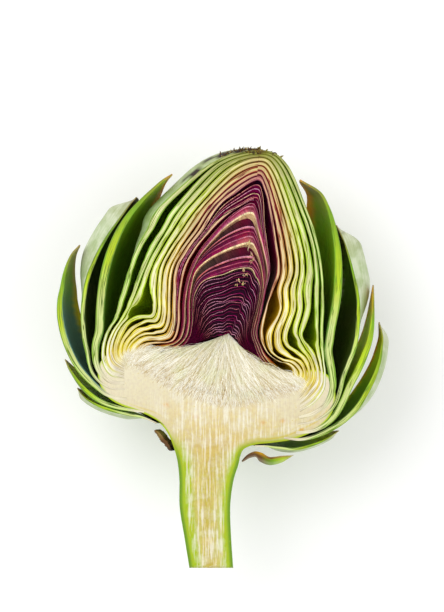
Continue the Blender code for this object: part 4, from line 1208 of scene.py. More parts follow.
def heart_colours(face, across, down):
    """Colours of the cut face of the heart: pale flanks, peach pith and a green rim.

    The second result is 1 away from the rim, where the fibres may show.
    """
    tones = palette()
    fine = np.linspace(0, len(FLESH_SIDE_LEFT) - 1, 300)
    outline = [one_curve(edge, fine) for edge in (FLESH_SIDE_LEFT, FLESH_SIDE_RIGHT)]
    outline = np.concatenate(outline)
    flat = face[..., :2].reshape(-1, 2)
    gap = np.sqrt(((flat[:, None] - outline[None]) ** 2).sum(axis=2)).min(axis=1)
    gap = gap.reshape(face.shape[:2])
    x, y = face[..., 0], face[..., 1]
    a, b = across[None, :], down[:, None]
    colour = np.zeros(face.shape) + tones["pulp"]

    def lay(name, amount):
        """Covers the colour so far with a share of one tone."""
        nonlocal colour
        amount = np.clip(amount, 0, 1)[..., None]
        colour = colour * (1 - amount) + tones[name] * amount

    stem = smooth_step(-y, 33, 46)
    centre = a - PITH_SHARE
    lay("butter", 0.25 * smooth_step(-y, 24, 40))
    lay("peach", 0.85 * np.exp(-((centre / 0.15) ** 2)) * smooth_step(b, 0.08, 0.5))
    lay("pith", 0.5 * stem * np.exp(-(((centre - 0.03) / 0.1) ** 2)))
    lay("sand", 0.7 * stem * np.exp(-(((np.abs(centre) - 0.2) / 0.09) ** 2)))
    lay("pale_lime", 0.7 * stem * smooth_step(np.abs(centre), 0.14, 0.36))
    spread = 1 + 0.7 * smooth_step(-x, 3, 9)
    lay("lime", stem * (1 - smooth_step(gap / spread, 1.4, 3.6)))
    lay("green", stem * (1 - smooth_step(gap, 0.5, 1.5)))
    low = smooth_step(-y, 22, 30) * (1 - stem)
    for distance, amount in ((1.9, 0.6), (3.3, 0.3), (5.6, 0.2)):
        line = np.exp(-(((gap - distance - 0.5 * np.sin(x / 3.7)) / 0.25) ** 2))
        lay("yellow", amount * low * line * smooth_step(np.abs(x + 6), 12, 20))
    lay("lime", (1 - stem) * smooth_step(-y, 8, 14) * (1 - smooth_step(gap, 0.3, 0.85)))
    for speck in HEART_SPECKS:
        lay("orange", 0.55 * bump_at(x, y, speck, 0.7))
    flank = smooth_step(np.abs(x + 1), 12, 27) * smooth_step(y, -35, -28)
    below = [depth for depth, tint in HEART_TINTS]
    tints = np.array([tint for depth, tint in HEART_TINTS])
    tint = np.stack([np.interp(-y, below, tints[:, k]) for k in range(3)], axis=-1)
    return colour * tint, smooth_step(gap, 1.2, 3.0) * (1 - 0.9 * flank)


def joined_grids(grids):
    """Points and faces of several grids, numbered as one."""
    faces, first = [], 0
    for grid in grids:
        faces.append(grid_quads(*grid.shape[:2], first))
        first += grid.shape[0] * grid.shape[1]
    return np.concatenate([grid.reshape(-1, 3) for grid in grids]), faces


def heart_piece(material):
    """The heart and stem as one closed piece of four grids."""
    columns, rows = HEART_STEPS
    across = np.concatenate([[0, 0.003], np.linspace(0, 1, columns)[1:-1], [0.997, 1]])
    down = np.concatenate([[0, 0.003], np.linspace(0, 1, rows)[1:]])
    grids = heart_grids(across, down)
    tones = palette()
    face_tone, face_inside = heart_colours(grids[0], across, down)
    streak = ripple(across * 60, 5)[None, :, None] * 0.5 + 0.5
    skin = tones["green"] * (1 - 0.4 * streak) + tones["pale_lime"] * 0.4 * streak
    looks = ((face_tone, face_inside), (skin, 0.0), (tones["pulp"], 1.0), (face_tone[-1], 1.0))
    colours, grain, inside = [], [], []
    for grid, (colour, share) in zip(grids, looks):
        colours.append(np.broadcast_to(colour, grid.shape).reshape(-1, 3))
        inside.append(np.broadcast_to(share, grid.shape[:2]).ravel())
        width = np.linalg.norm(grid[:, -1, :2] - grid[:, 0, :2], axis=1)
        side = (across[None, :] - PITH_SHARE) * np.maximum(width, 10)[:, None]
        side = grid[..., 0] if grid is grids[0] else side
        grain.append(np.stack([side, grid[..., 1], 0 * side], axis=-1).reshape(-1, 3))
    points, faces = joined_grids(grids)
    fields = {"flesh": np.concatenate(colours), "grain": np.concatenate(grain),
              "inside": np.concatenate(inside)}
    return make_piece("heart_and_stem_flesh", points, faces, fields, material)


# ---------------------------------------------------------------- choke


def choke_edges(share):
    """Upper and lower edges of the choke on the cut face, from left to right."""
    top = mirrored_curve(CHOKE_TOP_LEFT, CHOKE_TOP_RIGHT, share)
    low = mirrored_curve(CHOKE_LOW_LEFT[::-1], CHOKE_LOW_RIGHT[::-1], share)
    return top, low


def hair_edges(share):
    """Upper and lower edges of the field of hairs, which runs out over the flesh."""
    top = mirrored_curve(HAIR_TOP_LEFT, HAIR_TOP_RIGHT, share)
    low = mirrored_curve(HAIR_LOW_LEFT, HAIR_LOW_RIGHT, share)
    return top, low


def tapered_hairs(spine, radius, shade):
    """Points, faces and fields of hairs with a three-sided section round each spine.

    The radius falls as the square root of what is left of the length.
    """
    count, rings = spine.shape[:2]
    k = np.linspace(0, 1, rings)[None, :]
    radius = radius[:, None] * np.sqrt(np.clip(1.02 - k, 0.0, 1.0))
    along = np.gradient(spine, axis=1)
    across = np.cross(along, np.array([0.0, 0.0, 1.0]))
    across /= np.linalg.norm(across, axis=2)[..., None] + 1e-9
    up = np.cross(across, along)
    up /= np.linalg.norm(up, axis=2)[..., None] + 1e-9
    turn = np.radians([90.0, 210.0, 330.0])
    ring = across[:, :, None] * np.cos(turn)[None, None, :, None]
    ring = ring + up[:, :, None] * np.sin(turn)[None, None, :, None]
    points = spine[:, :, None] + ring * radius[:, :, None, None]
    ids = np.arange(count * rings * 3).reshape(count, rings, 3)
    ahead = np.roll(ids, -1, axis=2)
    quads = np.stack([ids[:, :-1], ahead[:, :-1], ahead[:, 1:], ids[:, 1:]], axis=-1)
    ends = np.concatenate([ids[:, 0, ::-1], ids[:, -1]])
    fields = {
        "shade": np.broadcast_to(shade[:, None, None], (count, rings, 3)),
        "share": np.broadcast_to(k[..., None], (count, rings, 3)),
        "grain": points,
    }
    return points, [quads.reshape(-1, 4), ends], fields


def choke_bed(material):
    """The solid bed under the hairs: blends of the two edges, with hoops below."""
    columns, rows = BED_STEPS
    across = np.linspace(0, 1, columns)
    down = np.linspace(0, 1, rows)[:, None]
    top, low = choke_edges(across)
    flat = top[None] * (1 - down[..., None]) + low[None] * down[..., None]
    grids = [np.dstack([flat, np.full(flat.shape[:2], CUT_HEIGHT)])]
    angle = math.pi * (1 - across)[None]
    half = across[: columns // 2 + 1]
    for edge in (0, 1):
        rim_left = choke_edges(half)[edge]
        rim_right = choke_edges(1 - half)[edge]
        rim_right[-1] = rim_left[-1]
        grids.append(hoop(rim_left[:, None], rim_right[:, None], angle))
    top_ends, low_ends = choke_edges(np.array([0.0, 1.0]))
    left, right = (top_ends[end] * (1 - down) + low_ends[end] * down for end in (0, 1))
    grids.append(hoop(left[:, None], right[:, None], angle))
    points, faces = joined_grids([grid - np.array([0, 0, BED_SUNK]) for grid in grids])
    fields = {"shade": np.full(len(points), 0.3), "share": np.full(len(points), 0.4),
              "grain": points}
    return make_piece("choke_bed", points, faces, fields, material)


def choke_hairs(material):
    """Fine hairs that fan from the heart to the peak, each a bowed path from root to tip."""
    sizes = bpy.context.scene.artichoke_sizes
    count, rings = sizes.hair_count, HAIR_RINGS
    random = np.random.default_rng(11)
    root_share = random.uniform(0.005, 0.995, count)
    raised = np.clip(random.uniform(-0.15, 0.8, count), 0, 1) * random.uniform(0, 1, count)
    reach = np.clip(raised + random.uniform(0.2, 1.1, count), 0, 1.03)
    lean = 2 * root_share - 1
    tip_share = 0.5 + 0.5 * np.sign(lean) * np.abs(lean) ** (1.0 + 0.9 * reach)
    tip_share = np.clip(tip_share + random.normal(0, 0.012, count), 0.002, 0.998)
    root_top, root_low = hair_edges(root_share)
    tip_top, tip_low = hair_edges(tip_share)
    root = root_low + (root_top - root_low) * raised[:, None]
    low_part = (1 - smooth_step(raised, 0.0, 0.25))[:, None]
    root = root + random.normal(0, 1.0, root.shape) * (0.3 + low_part) * 0.7
    tip = tip_low + (tip_top - tip_low) * reach[:, None]
    k = np.linspace(0, 1, rings)[None, :, None]
    path = root[:, None] * (1 - k) + tip[:, None] * k
    aim = tip - root
    side = np.stack([-aim[:, 1], aim[:, 0]], axis=1)
    bow = (random.normal(0.0, 0.06, count) - 0.10 * lean)[:, None, None]
    path = path + side[:, None] * bow * np.sin(np.pi * k)
    lift = random.uniform(-0.3, 0.08, count)
    outside = smooth_step(np.abs(lean), 0.72, 0.86) + (1 - smooth_step(raised, 0.02, 0.12))
    outside = np.clip(outside, 0, 1)
    lift = lift * (1 - outside) - 0.1 * outside
    arc = 0.25 * np.sin(np.pi * k[..., 0]) * random.uniform(-1, 1, count)[:, None]
    arc = arc * (1 - 0.8 * outside[:, None])
    height = np.minimum(CUT_HEIGHT + lift[:, None] + arc, CUT_HEIGHT + 0.08)
    radius = sizes.hair_thickness / MM / 2 * random.uniform(0.6, 1.3, count)
    shade = np.clip(random.normal(0.6, 0.4, count), 0, 1)
    return make_piece("choke_hairs", *tapered_hairs(np.dstack([path, height]), radius, shade),
                      material)


def bits(name, base, size, heading, radius, tones, material, seed):
    """Small bowed flakes and threads: from each base point along its heading for its size."""
    random = np.random.default_rng(seed)
    count, rings = len(base), HAIR_RINGS
    aim = np.stack([np.cos(heading), np.sin(heading)], axis=1) * size[:, None]
    k = np.linspace(0, 1, rings)[None, :, None]
    side = np.stack([-aim[:, 1], aim[:, 0]], axis=1)
    bow = random.normal(0, 0.2, count)[:, None, None]
    path = base[:, None, :2] + aim[:, None] * k + side[:, None] * bow * np.sin(np.pi * k)
    fall = random.uniform(-0.4, 0.2, count)[:, None] * k[..., 0]
    spine = np.dstack([path, CUT_HEIGHT + base[:, 2:] + fall])
    points, faces, fields = tapered_hairs(spine, radius, 0 * radius)
    colour = stops(tones, random.uniform(0, 1, count))[:, None, None]
    colour = np.broadcast_to(colour, (count, rings, 3, 3))
    full = np.ones((count, rings, 3))
    fields = {"flesh": colour, "skin": colour, "depth": full, "cut": 0 * full, "bloom": 0 * full,
              "grain": points}
    return make_piece(name, points, faces, fields, material)


def tip_threads(material):
    """Small forked threads on the tips of the purple leaves, spread from a few nodes."""
    random = np.random.default_rng(23)
    nodes, sizes = np.split(np.array(THREAD_NODES), [2], axis=1)
    each = 6
    flat = np.repeat(nodes, each, axis=0) + random.normal(0, 0.22, (len(nodes) * each, 2))
    base = np.column_stack([flat, random.uniform(-0.1, 0.1, len(flat))])
    size = np.repeat(sizes[:, 0], each) * random.uniform(0.4, 1.0, len(base))
    heading = np.radians(random.choice([-75.0, 85.0, 235.0, 60.0], len(base)))
    heading = heading + random.normal(0, 0.25, len(base))
    radius = random.uniform(0.1, 0.3, len(base))
    return bits("tip_threads", base, size, heading, radius, "sand blush sand rose cream",
                material, 5)


# ---------------------------------------------------------------- dry leaves on the stem


def stem_scale_left(material):
    """A dry leaf that hugs the foot of the head: its line carried down into the depth."""
    columns, rows = SCALE_LEFT_STEPS
    t = np.linspace(0, 1, rows)
    across = turn_steps(columns, True, False)
    line = even_curve(STEM_SCALE_LEFT, t)
    deep = 5.0 * across
    middle = np.empty((rows, len(across), 3))
    middle[..., 0] = line[:, 0, None] + 1.6 * across**1.6 + 0.25 * ripple(t * 9, 3)[:, None]
    middle[..., 1] = line[:, 1, None] + 0.2 * ripple(t * 11, 4)[:, None]
    middle[..., 2] = CUT_HEIGHT - deep
    thin = 0.45 * np.sqrt(np.clip(4 * t * (1 - t), 0, 1))[:, None, None] + 0.08
    shift = np.array([-1.0, -0.8, 0.0]) * thin

    def colours(fields):
        """Dark brown from foot to tip, darker still on the faces."""
        dark = stops("char brown brown tan brown", fields["station"])
        return dark, dark * 0.7, 0.0 * fields["station"]

    sheet = {"outer": middle + shift, "inner": middle - shift, "across": across,
             "cuts": (True, False), "colours": colours, "seed": 91}
    return make_leaf("stem_scale_left_skin", [sheet], material)


def stem_scale_right(material):
    """A small curled leaf: straight lines between its rim and its lip, sagging outwards."""
    columns, rows = SCALE_RIGHT_STEPS
    t = np.linspace(0, 1, rows)
    across = turn_steps(columns, False, False)
    rim = even_curve(STEM_SCALE_RIGHT_RIM, t)
    lip = even_curve(STEM_SCALE_RIGHT_LIP, t)
    flat = rim[:, None] + (lip - rim)[:, None] * across[None, :, None]
    curl = 0.35 * ripple(t * 8, 8)[:, None] * across
    sag = 3.0 * across**1.5 + curl
    face = np.dstack([flat, CUT_HEIGHT - sag])
    thin = 0.5 * np.sqrt(np.clip(4 * t * (1 - t), 0, 1))[:, None] + 0.06 + 0 * across
    under = face - np.dstack([0 * thin, 0 * thin, thin])

    def colours(fields):
        """A blade that turns from brown to green, with a rusty rim."""
        along, share = fields["station"], fields["across"]
        blade = stops("brown brown brown green lime tan", along)
        rust = stops("char brown ochre brown tan tan", along)
        rim_part = (1 - smooth_step(share, 0.12, 0.42))[..., None]
        skin = blade * (1 - rim_part) + rust * rim_part
        return skin, skin, 0.3 * smooth_step(share, 0.5, 0.8)

    sheet = {"outer": face, "inner": under, "across": across, "cuts": (False, False),
             "colours": colours, "seed": 92}
    return make_leaf("stem_scale_right_skin", [sheet], material)


# ---------------------------------------------------------------- finishes


def feed(tree, node, inputs):
    """Gives each input of a node its value, or links it from another node's output."""
    for key, value in inputs.items():
        if isinstance(value, bpy.types.NodeSocket):
            tree.links.new(value, node.inputs[key])
        else:
            node.inputs[key].default_value = value


def add_node(tree, kind, inputs=None, **settings):
    """Adds a node with its settings and inputs."""
    node = tree.nodes.new(kind)
    for key, value in settings.items():
        setattr(node, key, value)
    feed(tree, node, inputs or {})
    return node


def field(tree, name, output="Fac"):
    """The output of a node that reads a stored value of the piece."""
    return add_node(tree, "ShaderNodeAttribute", attribute_name=name).outputs[output]


def arithmetic(tree, operation, first, second=0.0):
    """One Math node."""
    node = add_node(tree, "ShaderNodeMath", {0: first, 1: second}, operation=operation)
    return node.outputs[0]


def ranged(tree, value, low, high, to_low=0.0, to_high=1.0, soft=True):
    """A value carried from one range to another, by default along a smooth step."""
    kind = "SMOOTHSTEP" if soft else "LINEAR"
    inputs = {"Value": value, "From Min": low, "From Max": high, "To Min": to_low, "To Max": to_high}
    return add_node(tree, "ShaderNodeMapRange", inputs, interpolation_type=kind).outputs[0]


def mixed(tree, share, first, second, blend="MIX"):
    """A colour mix."""
    node = add_node(tree, "ShaderNodeMix", data_type="RGBA", blend_type=blend)
    feed(tree, node, {0: share, 6: first, 7: second})
    return node.outputs[2]


def new_group(name, inputs, outputs):
    """A shader node group with its sockets and its two end nodes."""
    group = bpy.data.node_groups.new(name, "ShaderNodeTree")
    for key, (kind, value) in inputs.items():
        socket = group.interface.new_socket(name=key, in_out="INPUT", socket_type=kind)
        if value is not None:
            socket.default_value = value
    for key, kind in outputs.items():
        group.interface.new_socket(name=key, in_out="OUTPUT", socket_type=kind)
    return group, group.nodes.new("NodeGroupInput"), group.nodes.new("NodeGroupOutput")


def use_group(tree, group, inputs):
    """Places a node group with its own values."""
    node = tree.nodes.new("ShaderNodeGroup")
    node.node_tree = group
    feed(tree, node, inputs)
    return node


FIBRES = "Plant fibres"
TINT = "Uneven tint"
LINES = "Fine lines"


def stretched(tree, vector, across, along):
    """A place scaled by one rate across the grain and another along it."""
    split = add_node(tree, "ShaderNodeSeparateXYZ", {0: vector})
    wide = arithmetic(tree, "MULTIPLY", split.outputs[0], across)
    long = arithmetic(tree, "MULTIPLY", split.outputs[1], along)
    place = add_node(tree, "ShaderNodeCombineXYZ", {0: wide, 1: long, 2: split.outputs[2]})
    return place.outputs[0]


def fibre_group():
    """Fibres that run along a leaf or stem, and soft patches, as values around one half."""
    if FIBRES in bpy.data.node_groups:
        return bpy.data.node_groups[FIBRES]
    inputs = {
        "Vector": ("NodeSocketVector", None),
        "Across": ("NodeSocketFloat", 3.0),
        "Along": ("NodeSocketFloat", 0.12),
        "Patch": ("NodeSocketFloat", 0.25),
    }
    group, start, end = new_group(FIBRES, inputs, {"Fibre": "NodeSocketFloat",
                                                   "Patches": "NodeSocketFloat"})
    place = stretched(group, *(start.outputs[key] for key in ("Vector", "Across", "Along")))
    fine = add_node(group, "ShaderNodeTexNoise", {"Vector": place, "Scale": 1.0,
                                                  "Detail": 3.0, "Roughness": 0.6})
    broad = add_node(group, "ShaderNodeTexNoise", {"Vector": start.outputs["Vector"],
                                                   "Scale": start.outputs["Patch"],
                                                   "Detail": 4.0, "Roughness": 0.55})
    group.links.new(ranged(group, fine.outputs[0], 0.25, 0.75), end.inputs["Fibre"])
    group.links.new(ranged(group, broad.outputs[0], 0.25, 0.75), end.inputs["Patches"])
    return group


def line_group():
    """Fine lines that run along a cut edge: the places where stretched noise is one half."""
    if LINES in bpy.data.node_groups:
        return bpy.data.node_groups[LINES]
    inputs = {"Vector": ("NodeSocketVector", None), "Across": ("NodeSocketFloat", 1.3)}
    group, start, end = new_group(LINES, inputs, {"Lines": "NodeSocketFloat"})
    place = stretched(group, start.outputs["Vector"], start.outputs["Across"], 0.05)
    noise = add_node(group, "ShaderNodeTexNoise", {"Vector": place, "Scale": 1.0,
                                                   "Detail": 1.0, "Roughness": 0.5})
    away = arithmetic(group, "SUBTRACT", noise.outputs[0], 0.5)
    away = arithmetic(group, "ABSOLUTE", away)
    group.links.new(ranged(group, away, 0.012, 0.045, 1.0, 0.0), end.inputs["Lines"])
    return group


def tint_group():
    """A colour made lighter and darker, and shifted in hue, by two values around one half."""
    if TINT in bpy.data.node_groups:
        return bpy.data.node_groups[TINT]
    inputs = {
        "Color": ("NodeSocketColor", None),
        "Fibre": ("NodeSocketFloat", 0.5),
        "Patches": ("NodeSocketFloat", 0.5),
        "Contrast": ("NodeSocketFloat", 0.3),
    }
    group, start, end = new_group(TINT, inputs, {"Color": "NodeSocketColor"})
    both = arithmetic(group, "ADD", start.outputs["Fibre"], start.outputs["Patches"])
    swing = arithmetic(group, "SUBTRACT", both, 1.0)
    scaled = arithmetic(group, "MULTIPLY", swing, start.outputs["Contrast"])
    light = arithmetic(group, "ADD", scaled, 1.0)
    hue = ranged(group, start.outputs["Patches"], 0.0, 1.0, 0.49, 0.51, soft=False)
    changed = add_node(group, "ShaderNodeHueSaturation", {"Hue": hue, "Saturation": 1.22,
                                                          "Value": light,
                                                          "Color": start.outputs["Color"]})
    group.links.new(changed.outputs[0], end.inputs["Color"])
    return group


def bare_material(name, roughness, specular=0.35):
    """A material with only its Principled shader."""
    material = bpy.data.materials.new(name)
    material.use_nodes = True
    shader = material.node_tree.nodes["Principled BSDF"]
    shader.inputs["Roughness"].default_value = roughness
    shader.inputs["Specular IOR Level"].default_value = specular
    return material, material.node_tree, shader


def add_relief(tree, shader, height, strength, distance):
    """A bump from a height value."""
    bump = add_node(tree, "ShaderNodeBump", {"Height": height, "Strength": strength,
                                             "Distance": distance})
    tree.links.new(bump.outputs[0], shader.inputs["Normal"])


def leaf_material(name, skin_from, fibre, contrast, rough, line_rate=1.9, shine=0.35):
    """Leaf: flesh in the middle of the cut edge, skin beside it and on both faces.

    The skin begins where the depth through the leaf passes skin_from, and the pale bloom, partly
    painted highlight, lies on the outside in patches between the veins.
    """
    material, tree, shader = bare_material(name, 0.45, shine)
    grain = field(tree, "grain", "Vector")
    fibres = use_group(tree, fibre_group(), {"Vector": grain, "Across": fibre, "Along": 0.1,
                                             "Patch": 0.2})
    depth = arithmetic(tree, "ABSOLUTE", field(tree, "depth"))
    stray = ranged(tree, fibres.outputs["Patches"], 0.0, 1.0, -0.12, 0.12, soft=False)
    depth = arithmetic(tree, "ADD", depth, stray)
    is_skin = ranged(tree, depth, skin_from - 0.16, skin_from + 0.16)
    lines = use_group(tree, line_group(), {"Vector": grain, "Across": line_rate})
    on_cut = arithmetic(tree, "MULTIPLY", lines.outputs["Lines"], field(tree, "cut"))
    is_skin = arithmetic(tree, "MAXIMUM", is_skin, on_cut)
    both = mixed(tree, is_skin, field(tree, "flesh", "Color"), field(tree, "skin", "Color"))
    deeper = mixed(tree, 1.0, both, (0.55, 0.5, 0.4, 1.0), "MULTIPLY")
    both = mixed(tree, arithmetic(tree, "MULTIPLY", on_cut, 0.75), both, deeper)
    tinted = use_group(tree, tint_group(), {"Color": both, "Fibre": fibres.outputs["Fibre"],
                                            "Patches": fibres.outputs["Patches"],
                                            "Contrast": contrast})
    veined = ranged(tree, fibres.outputs["Fibre"], 0.2, 0.8, 0.72, 0.9)
    patchy = ranged(tree, fibres.outputs["Patches"], 0.1, 0.9, 0.6, 1.0)
    bloom = arithmetic(tree, "MULTIPLY", arithmetic(tree, "MULTIPLY", veined, patchy),
                       field(tree, "bloom"))
    pale = tuple(palette()["bloom"]) + (1.0,)
    colour = mixed(tree, bloom, tinted.outputs["Color"], pale)
    tree.links.new(colour, shader.inputs["Base Color"])
    dull = ranged(tree, field(tree, "cut"), 0.0, 1.0, rough, rough - 0.15)
    dull = arithmetic(tree, "ADD", dull, ranged(tree, fibres.outputs["Patches"], 0, 1, -0.06, 0.06))
    tree.links.new(dull, shader.inputs["Roughness"])
    add_relief(tree, shader, fibres.outputs["Fibre"], 0.35, 0.00015)
    return material


def flesh_material():
    """Heart and stem: stored colours with streaky fibres, wet spots and small specks."""
    material, tree, shader = bare_material("Heart flesh", 0.4)
    grain = field(tree, "grain", "Vector")
    fibres = use_group(tree, fibre_group(), {"Vector": grain, "Across": 1.3, "Along": 0.09,
                                             "Patch": 0.2})
    fine = use_group(tree, fibre_group(), {"Vector": grain, "Across": 4.0, "Along": 0.3,
                                           "Patch": 0.9})
    base = field(tree, "flesh", "Color")
    tones = {key: tuple(value) + (1.0,) for key, value in palette().items()}
    inside = field(tree, "inside")
    for value, low, high, weak, strong, name in (
        (fibres.outputs["Fibre"], 0.4, 0.85, 0.0, 0.65, "white"),
        (fibres.outputs["Patches"], 0.1, 0.6, 0.28, 0.0, "white"),
        (fibres.outputs["Patches"], 0.42, 0.85, 0.0, 0.3, "peach"),
        (fine.outputs["Fibre"], 0.72, 0.95, 0.0, 0.35, "pith"),
    ):
        amount = ranged(tree, value, low, high, weak, strong)
        amount = arithmetic(tree, "MULTIPLY", amount, inside)
        base = mixed(tree, amount, base, tones[name])
    specks = ranged(tree, fine.outputs["Patches"], 0.86, 0.98, 0.0, 0.35)
    base = mixed(tree, specks, base, tones["ochre"])
    tinted = use_group(tree, tint_group(), {"Color": base, "Fibre": fine.outputs["Fibre"],
                                            "Patches": fine.outputs["Patches"],
                                            "Contrast": 0.09})
    tree.links.new(tinted.outputs["Color"], shader.inputs["Base Color"])
    rough = ranged(tree, fine.outputs["Patches"], 0.0, 1.0, 0.32, 0.52)
    tree.links.new(rough, shader.inputs["Roughness"])
    add_relief(tree, shader, fine.outputs["Fibre"], 0.3, 0.00015)
    return material


def hair_material():
    """Choke: cream hairs, each of its own lightness, warmer at the root."""
    material, tree, shader = bare_material("Choke hairs", 0.7, 0.2)
    tones = {key: tuple(np.minimum(value / TONE_SHARE, 1.0)) + (1.0,)
             for key, value in palette().items()}
    light = mixed(tree, field(tree, "shade"), tones["husk"], tones["hair"])
    root = ranged(tree, field(tree, "share"), 0.0, 0.25, 0.6, 0.0)
    root_tone = mixed(tree, field(tree, "shade"), tones["ochre"], tones["hair"])
    warm = mixed(tree, root, light, root_tone)
    fibres = use_group(tree, fibre_group(), {"Vector": field(tree, "grain", "Vector"),
                                             "Across": 1.2, "Along": 0.4, "Patch": 0.12})
    green = ranged(tree, fibres.outputs["Patches"], 0.45, 0.9, 0.0, 0.35)
    coloured = mixed(tree, green, warm, tones["mist"])
    tree.links.new(coloured, shader.inputs["Base Color"])
    rough = ranged(tree, fibres.outputs["Fibre"], 0.0, 1.0, 0.6, 0.8)
    tree.links.new(rough, shader.inputs["Roughness"])
    return material


# ---------------------------------------------------------------- operators


class ArtichokeBuild:
    """What every building operator shares."""

    bl_options = {"REGISTER", "UNDO"}


class ARTICHOKE_OT_heart(ArtichokeBuild, bpy.types.Operator):
    """Builds the heart with its stem"""

    bl_idname = "artichoke.heart"
    bl_label = "Heart and stem"

    def execute(self, context):
        settle(heart_piece(flesh_material()), "heart", "heart_and_stem")
        return {"FINISHED"}


class ARTICHOKE_OT_choke(ArtichokeBuild, bpy.types.Operator):
    """Builds the choke: a bed and its hairs"""

    bl_idname = "artichoke.choke"
    bl_label = "Choke"

    def execute(self, context):
        material = hair_material()
        settle(choke_bed(material), "choke", "choke")
        settle(choke_hairs(material), "choke")
        return {"FINISHED"}


class ARTICHOKE_OT_closed_leaves(ArtichokeBuild, bpy.types.Operator):
    """Builds the closed leaves of both sides"""

    bl_idname = "artichoke.closed_leaves"
    bl_label = "Closed leaves"

    def execute(self, context):
        material = leaf_material("Closed leaf", skin_from=0.62, fibre=2.5, contrast=0.3, rough=0.5)
        for side, layers in (("left", LEFT_LEAF_LAYERS), ("right", RIGHT_LEAF_LAYERS)):
            for number in range(len(layers)):
                node = f"leaf_{side}_{number + 1}"
                green = number < (3 if side == "left" else 2)
                leaf = closed_leaf(node + "_skin", side, number, layers, material)
                settle(leaf, "leaf_green" if green else "leaf_cream", node)
        return {"FINISHED"}


class ARTICHOKE_OT_inner_leaves(ArtichokeBuild, bpy.types.Operator):
    """Builds the purple leaves over the choke"""

    bl_idname = "artichoke.inner_leaves"
    bl_label = "Inner leaves"

    def execute(self, context):
        material = leaf_material("Purple leaf", skin_from=0.75, fibre=2.4, contrast=0.8, rough=0.6,
                                 shine=0.08)
        for layer in range(FIRST_ARCH_LAYER, LAST_ARCH_LAYER + 1):
            node = f"inner_leaf_{layer - FIRST_ARCH_LAYER + 1}"
            settle(inner_leaf(node + "_skin", layer, material), "leaf_purple", node)
        return {"FINISHED"}


class ARTICHOKE_OT_spread_leaves(ArtichokeBuild, bpy.types.Operator):
    """Builds the spread leaves at the sides and round the back"""

    bl_idname = "artichoke.spread_leaves"
    bl_label = "Spread leaves"

    def execute(self, context):
        material = leaf_material("Spread leaf", skin_from=0.7, fibre=2.2, contrast=0.2, rough=0.55)
        seed = 100
        for ring, (depth_scale, leaves) in RINGS.items():
            for leaf in leaves:
                seed += 1
                piece = spread_leaf(ring, depth_scale, leaf, material, seed)
                settle(piece, "outer_green", leaf[0])
        return {"FINISHED"}


class ARTICHOKE_OT_stem_scales(ArtichokeBuild, bpy.types.Operator):
    """Builds the small dry leaves under the head, and the crumbs and threads at the tip"""

    bl_idname = "artichoke.stem_scales"
    bl_label = "Dry leaves, crumbs and threads"

    def execute(self, context):
        material = leaf_material("Dry leaf", skin_from=0.8, fibre=2.0, contrast=0.4, rough=0.7)
        settle(stem_scale_left(material), "dry_scale", "stem_scale_left")
        settle(stem_scale_right(material), "dry_scale", "stem_scale_right")
        settle(crown_crumbs(material), "dry_scale")
        settle(tip_threads(material), "choke")
        return {"FINISHED"}


class ARTICHOKE_OT_stage(ArtichokeBuild, bpy.types.Operator):
    """Lays the floor and sets the soft light and the camera"""

    bl_idname = "artichoke.stage"
    bl_label = "Stage"

    def execute(self, context):
        lay_floor()
        set_light(context.scene.artichoke_stage)
        set_camera(context.scene.artichoke_stage)
        return {"FINISHED"}


def lay_floor():
    """A plain pale floor at the height the part lies on."""
    side = FLOOR_HALF_SIDE
    corners = [(-side, -side, 0), (side, -side, 0), (side, side, 0), (-side, side, 0)]
    mesh = bpy.data.meshes.new("floor")
    mesh.from_pydata(corners, [], [(0, 1, 2, 3)])
    material, tree, shader = bare_material("Pale floor", 0.9, 0.1)
    noise = add_node(tree, "ShaderNodeTexNoise", {"Scale": 40.0, "Detail": 3.0})
    shade = mixed(tree, noise.outputs[0], (0.93, 0.93, 0.93, 1), (0.95, 0.95, 0.95, 1))
    tree.links.new(shade, shader.inputs["Base Color"])
    mesh.materials.append(material)
    floor = bpy.data.objects.new("floor", mesh)
    bpy.context.scene.collection.objects.link(floor)


def set_light(stage):
    """Even white light from all round and one large soft light from above."""
    world = bpy.data.worlds.new("Soft white")
    world.use_nodes = True
    world.node_tree.nodes["Background"].inputs["Color"].default_value = (1, 1, 1, 1)
    world.node_tree.nodes["Background"].inputs["Strength"].default_value = stage.sky
    bpy.context.scene.world = world
    bpy.context.scene.view_settings.view_transform = "Standard"
    for name, place, size, share in (
        ("key", (-0.45, 0.35, 0.9), 0.7, 1.0),
        ("fill", (0.6, -0.2, 0.8), 0.8, 0.45),
    ):
        light = bpy.data.lights.new(name, "AREA")
        light.size = size
        light.energy = stage.key_power * share
        lamp = bpy.data.objects.new(name, light)
        lamp.location = place
        aim = -np.array(place)
        lamp.rotation_euler = (
            math.atan2(math.hypot(aim[0], aim[1]), -aim[2]), 0, math.atan2(aim[0], -aim[1]) + math.pi,
        )
        bpy.context.scene.collection.objects.link(lamp)


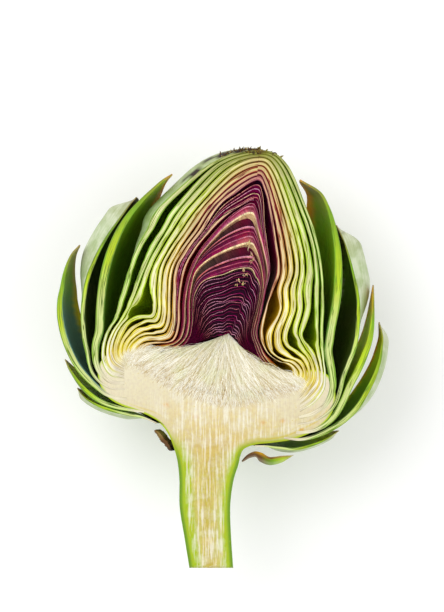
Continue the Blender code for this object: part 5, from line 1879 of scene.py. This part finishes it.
def set_camera(stage):
    """A long lens straight above the cut face, with the tip of the bud at the top."""
    data = bpy.data.cameras.new("camera")
    data.sensor_width = SENSOR_WIDTH
    data.lens = SENSOR_WIDTH * stage.camera_height / VIEW_HEIGHT
    data.clip_end = 20.0
    camera = bpy.data.objects.new("camera", data)
    camera.location = (0.0, VIEW_CENTRE_Y, CUT_HEIGHT * MM + stage.camera_height)
    bpy.context.scene.collection.objects.link(camera)
    bpy.context.scene.camera = camera


class ARTICHOKE_PT_panel(bpy.types.Panel):
    """Lists the building steps and their settings"""

    bl_idname = "ARTICHOKE_PT_panel"
    bl_label = "Half artichoke"
    bl_space_type = "VIEW_3D"
    bl_region_type = "UI"
    bl_category = "Artichoke"

    def draw(self, context):
        layout = self.layout
        scene = context.scene
        for step in STEPS:
            layout.operator(step.bl_idname)
        for group in (scene.artichoke_sizes, scene.artichoke_stage, scene.artichoke_tones):
            box = layout.box()
            for key in group.__annotations__:
                box.prop(group, key)


STEPS = (
    ARTICHOKE_OT_heart,
    ARTICHOKE_OT_choke,
    ARTICHOKE_OT_closed_leaves,
    ARTICHOKE_OT_inner_leaves,
    ARTICHOKE_OT_spread_leaves,
    ARTICHOKE_OT_stem_scales,
    ARTICHOKE_OT_stage,
)
GROUPS = {
    "artichoke_tones": ArtichokeTones,
    "artichoke_sizes": ArtichokeSizes,
    "artichoke_stage": ArtichokeStage,
}


def register():
    """Adds the settings, the building steps and the panel to Blender."""
    for kind in (*GROUPS.values(), *STEPS, ARTICHOKE_PT_panel):
        bpy.utils.register_class(kind)
    for name, kind in GROUPS.items():
        setattr(bpy.types.Scene, name, PointerProperty(type=kind))


def unregister():
    """Takes them away again."""
    for name in GROUPS:
        delattr(bpy.types.Scene, name)
    for kind in reversed((*GROUPS.values(), *STEPS, ARTICHOKE_PT_panel)):
        bpy.utils.unregister_class(kind)


def main():
    """Registers the building steps, then builds every piece and the stage in order."""
    register()
    bpy.ops.artichoke.heart()
    bpy.ops.artichoke.choke()
    bpy.ops.artichoke.closed_leaves()
    bpy.ops.artichoke.inner_leaves()
    bpy.ops.artichoke.spread_leaves()
    bpy.ops.artichoke.stem_scales()
    bpy.ops.artichoke.stage()


if __name__ == "__main__":
    main()
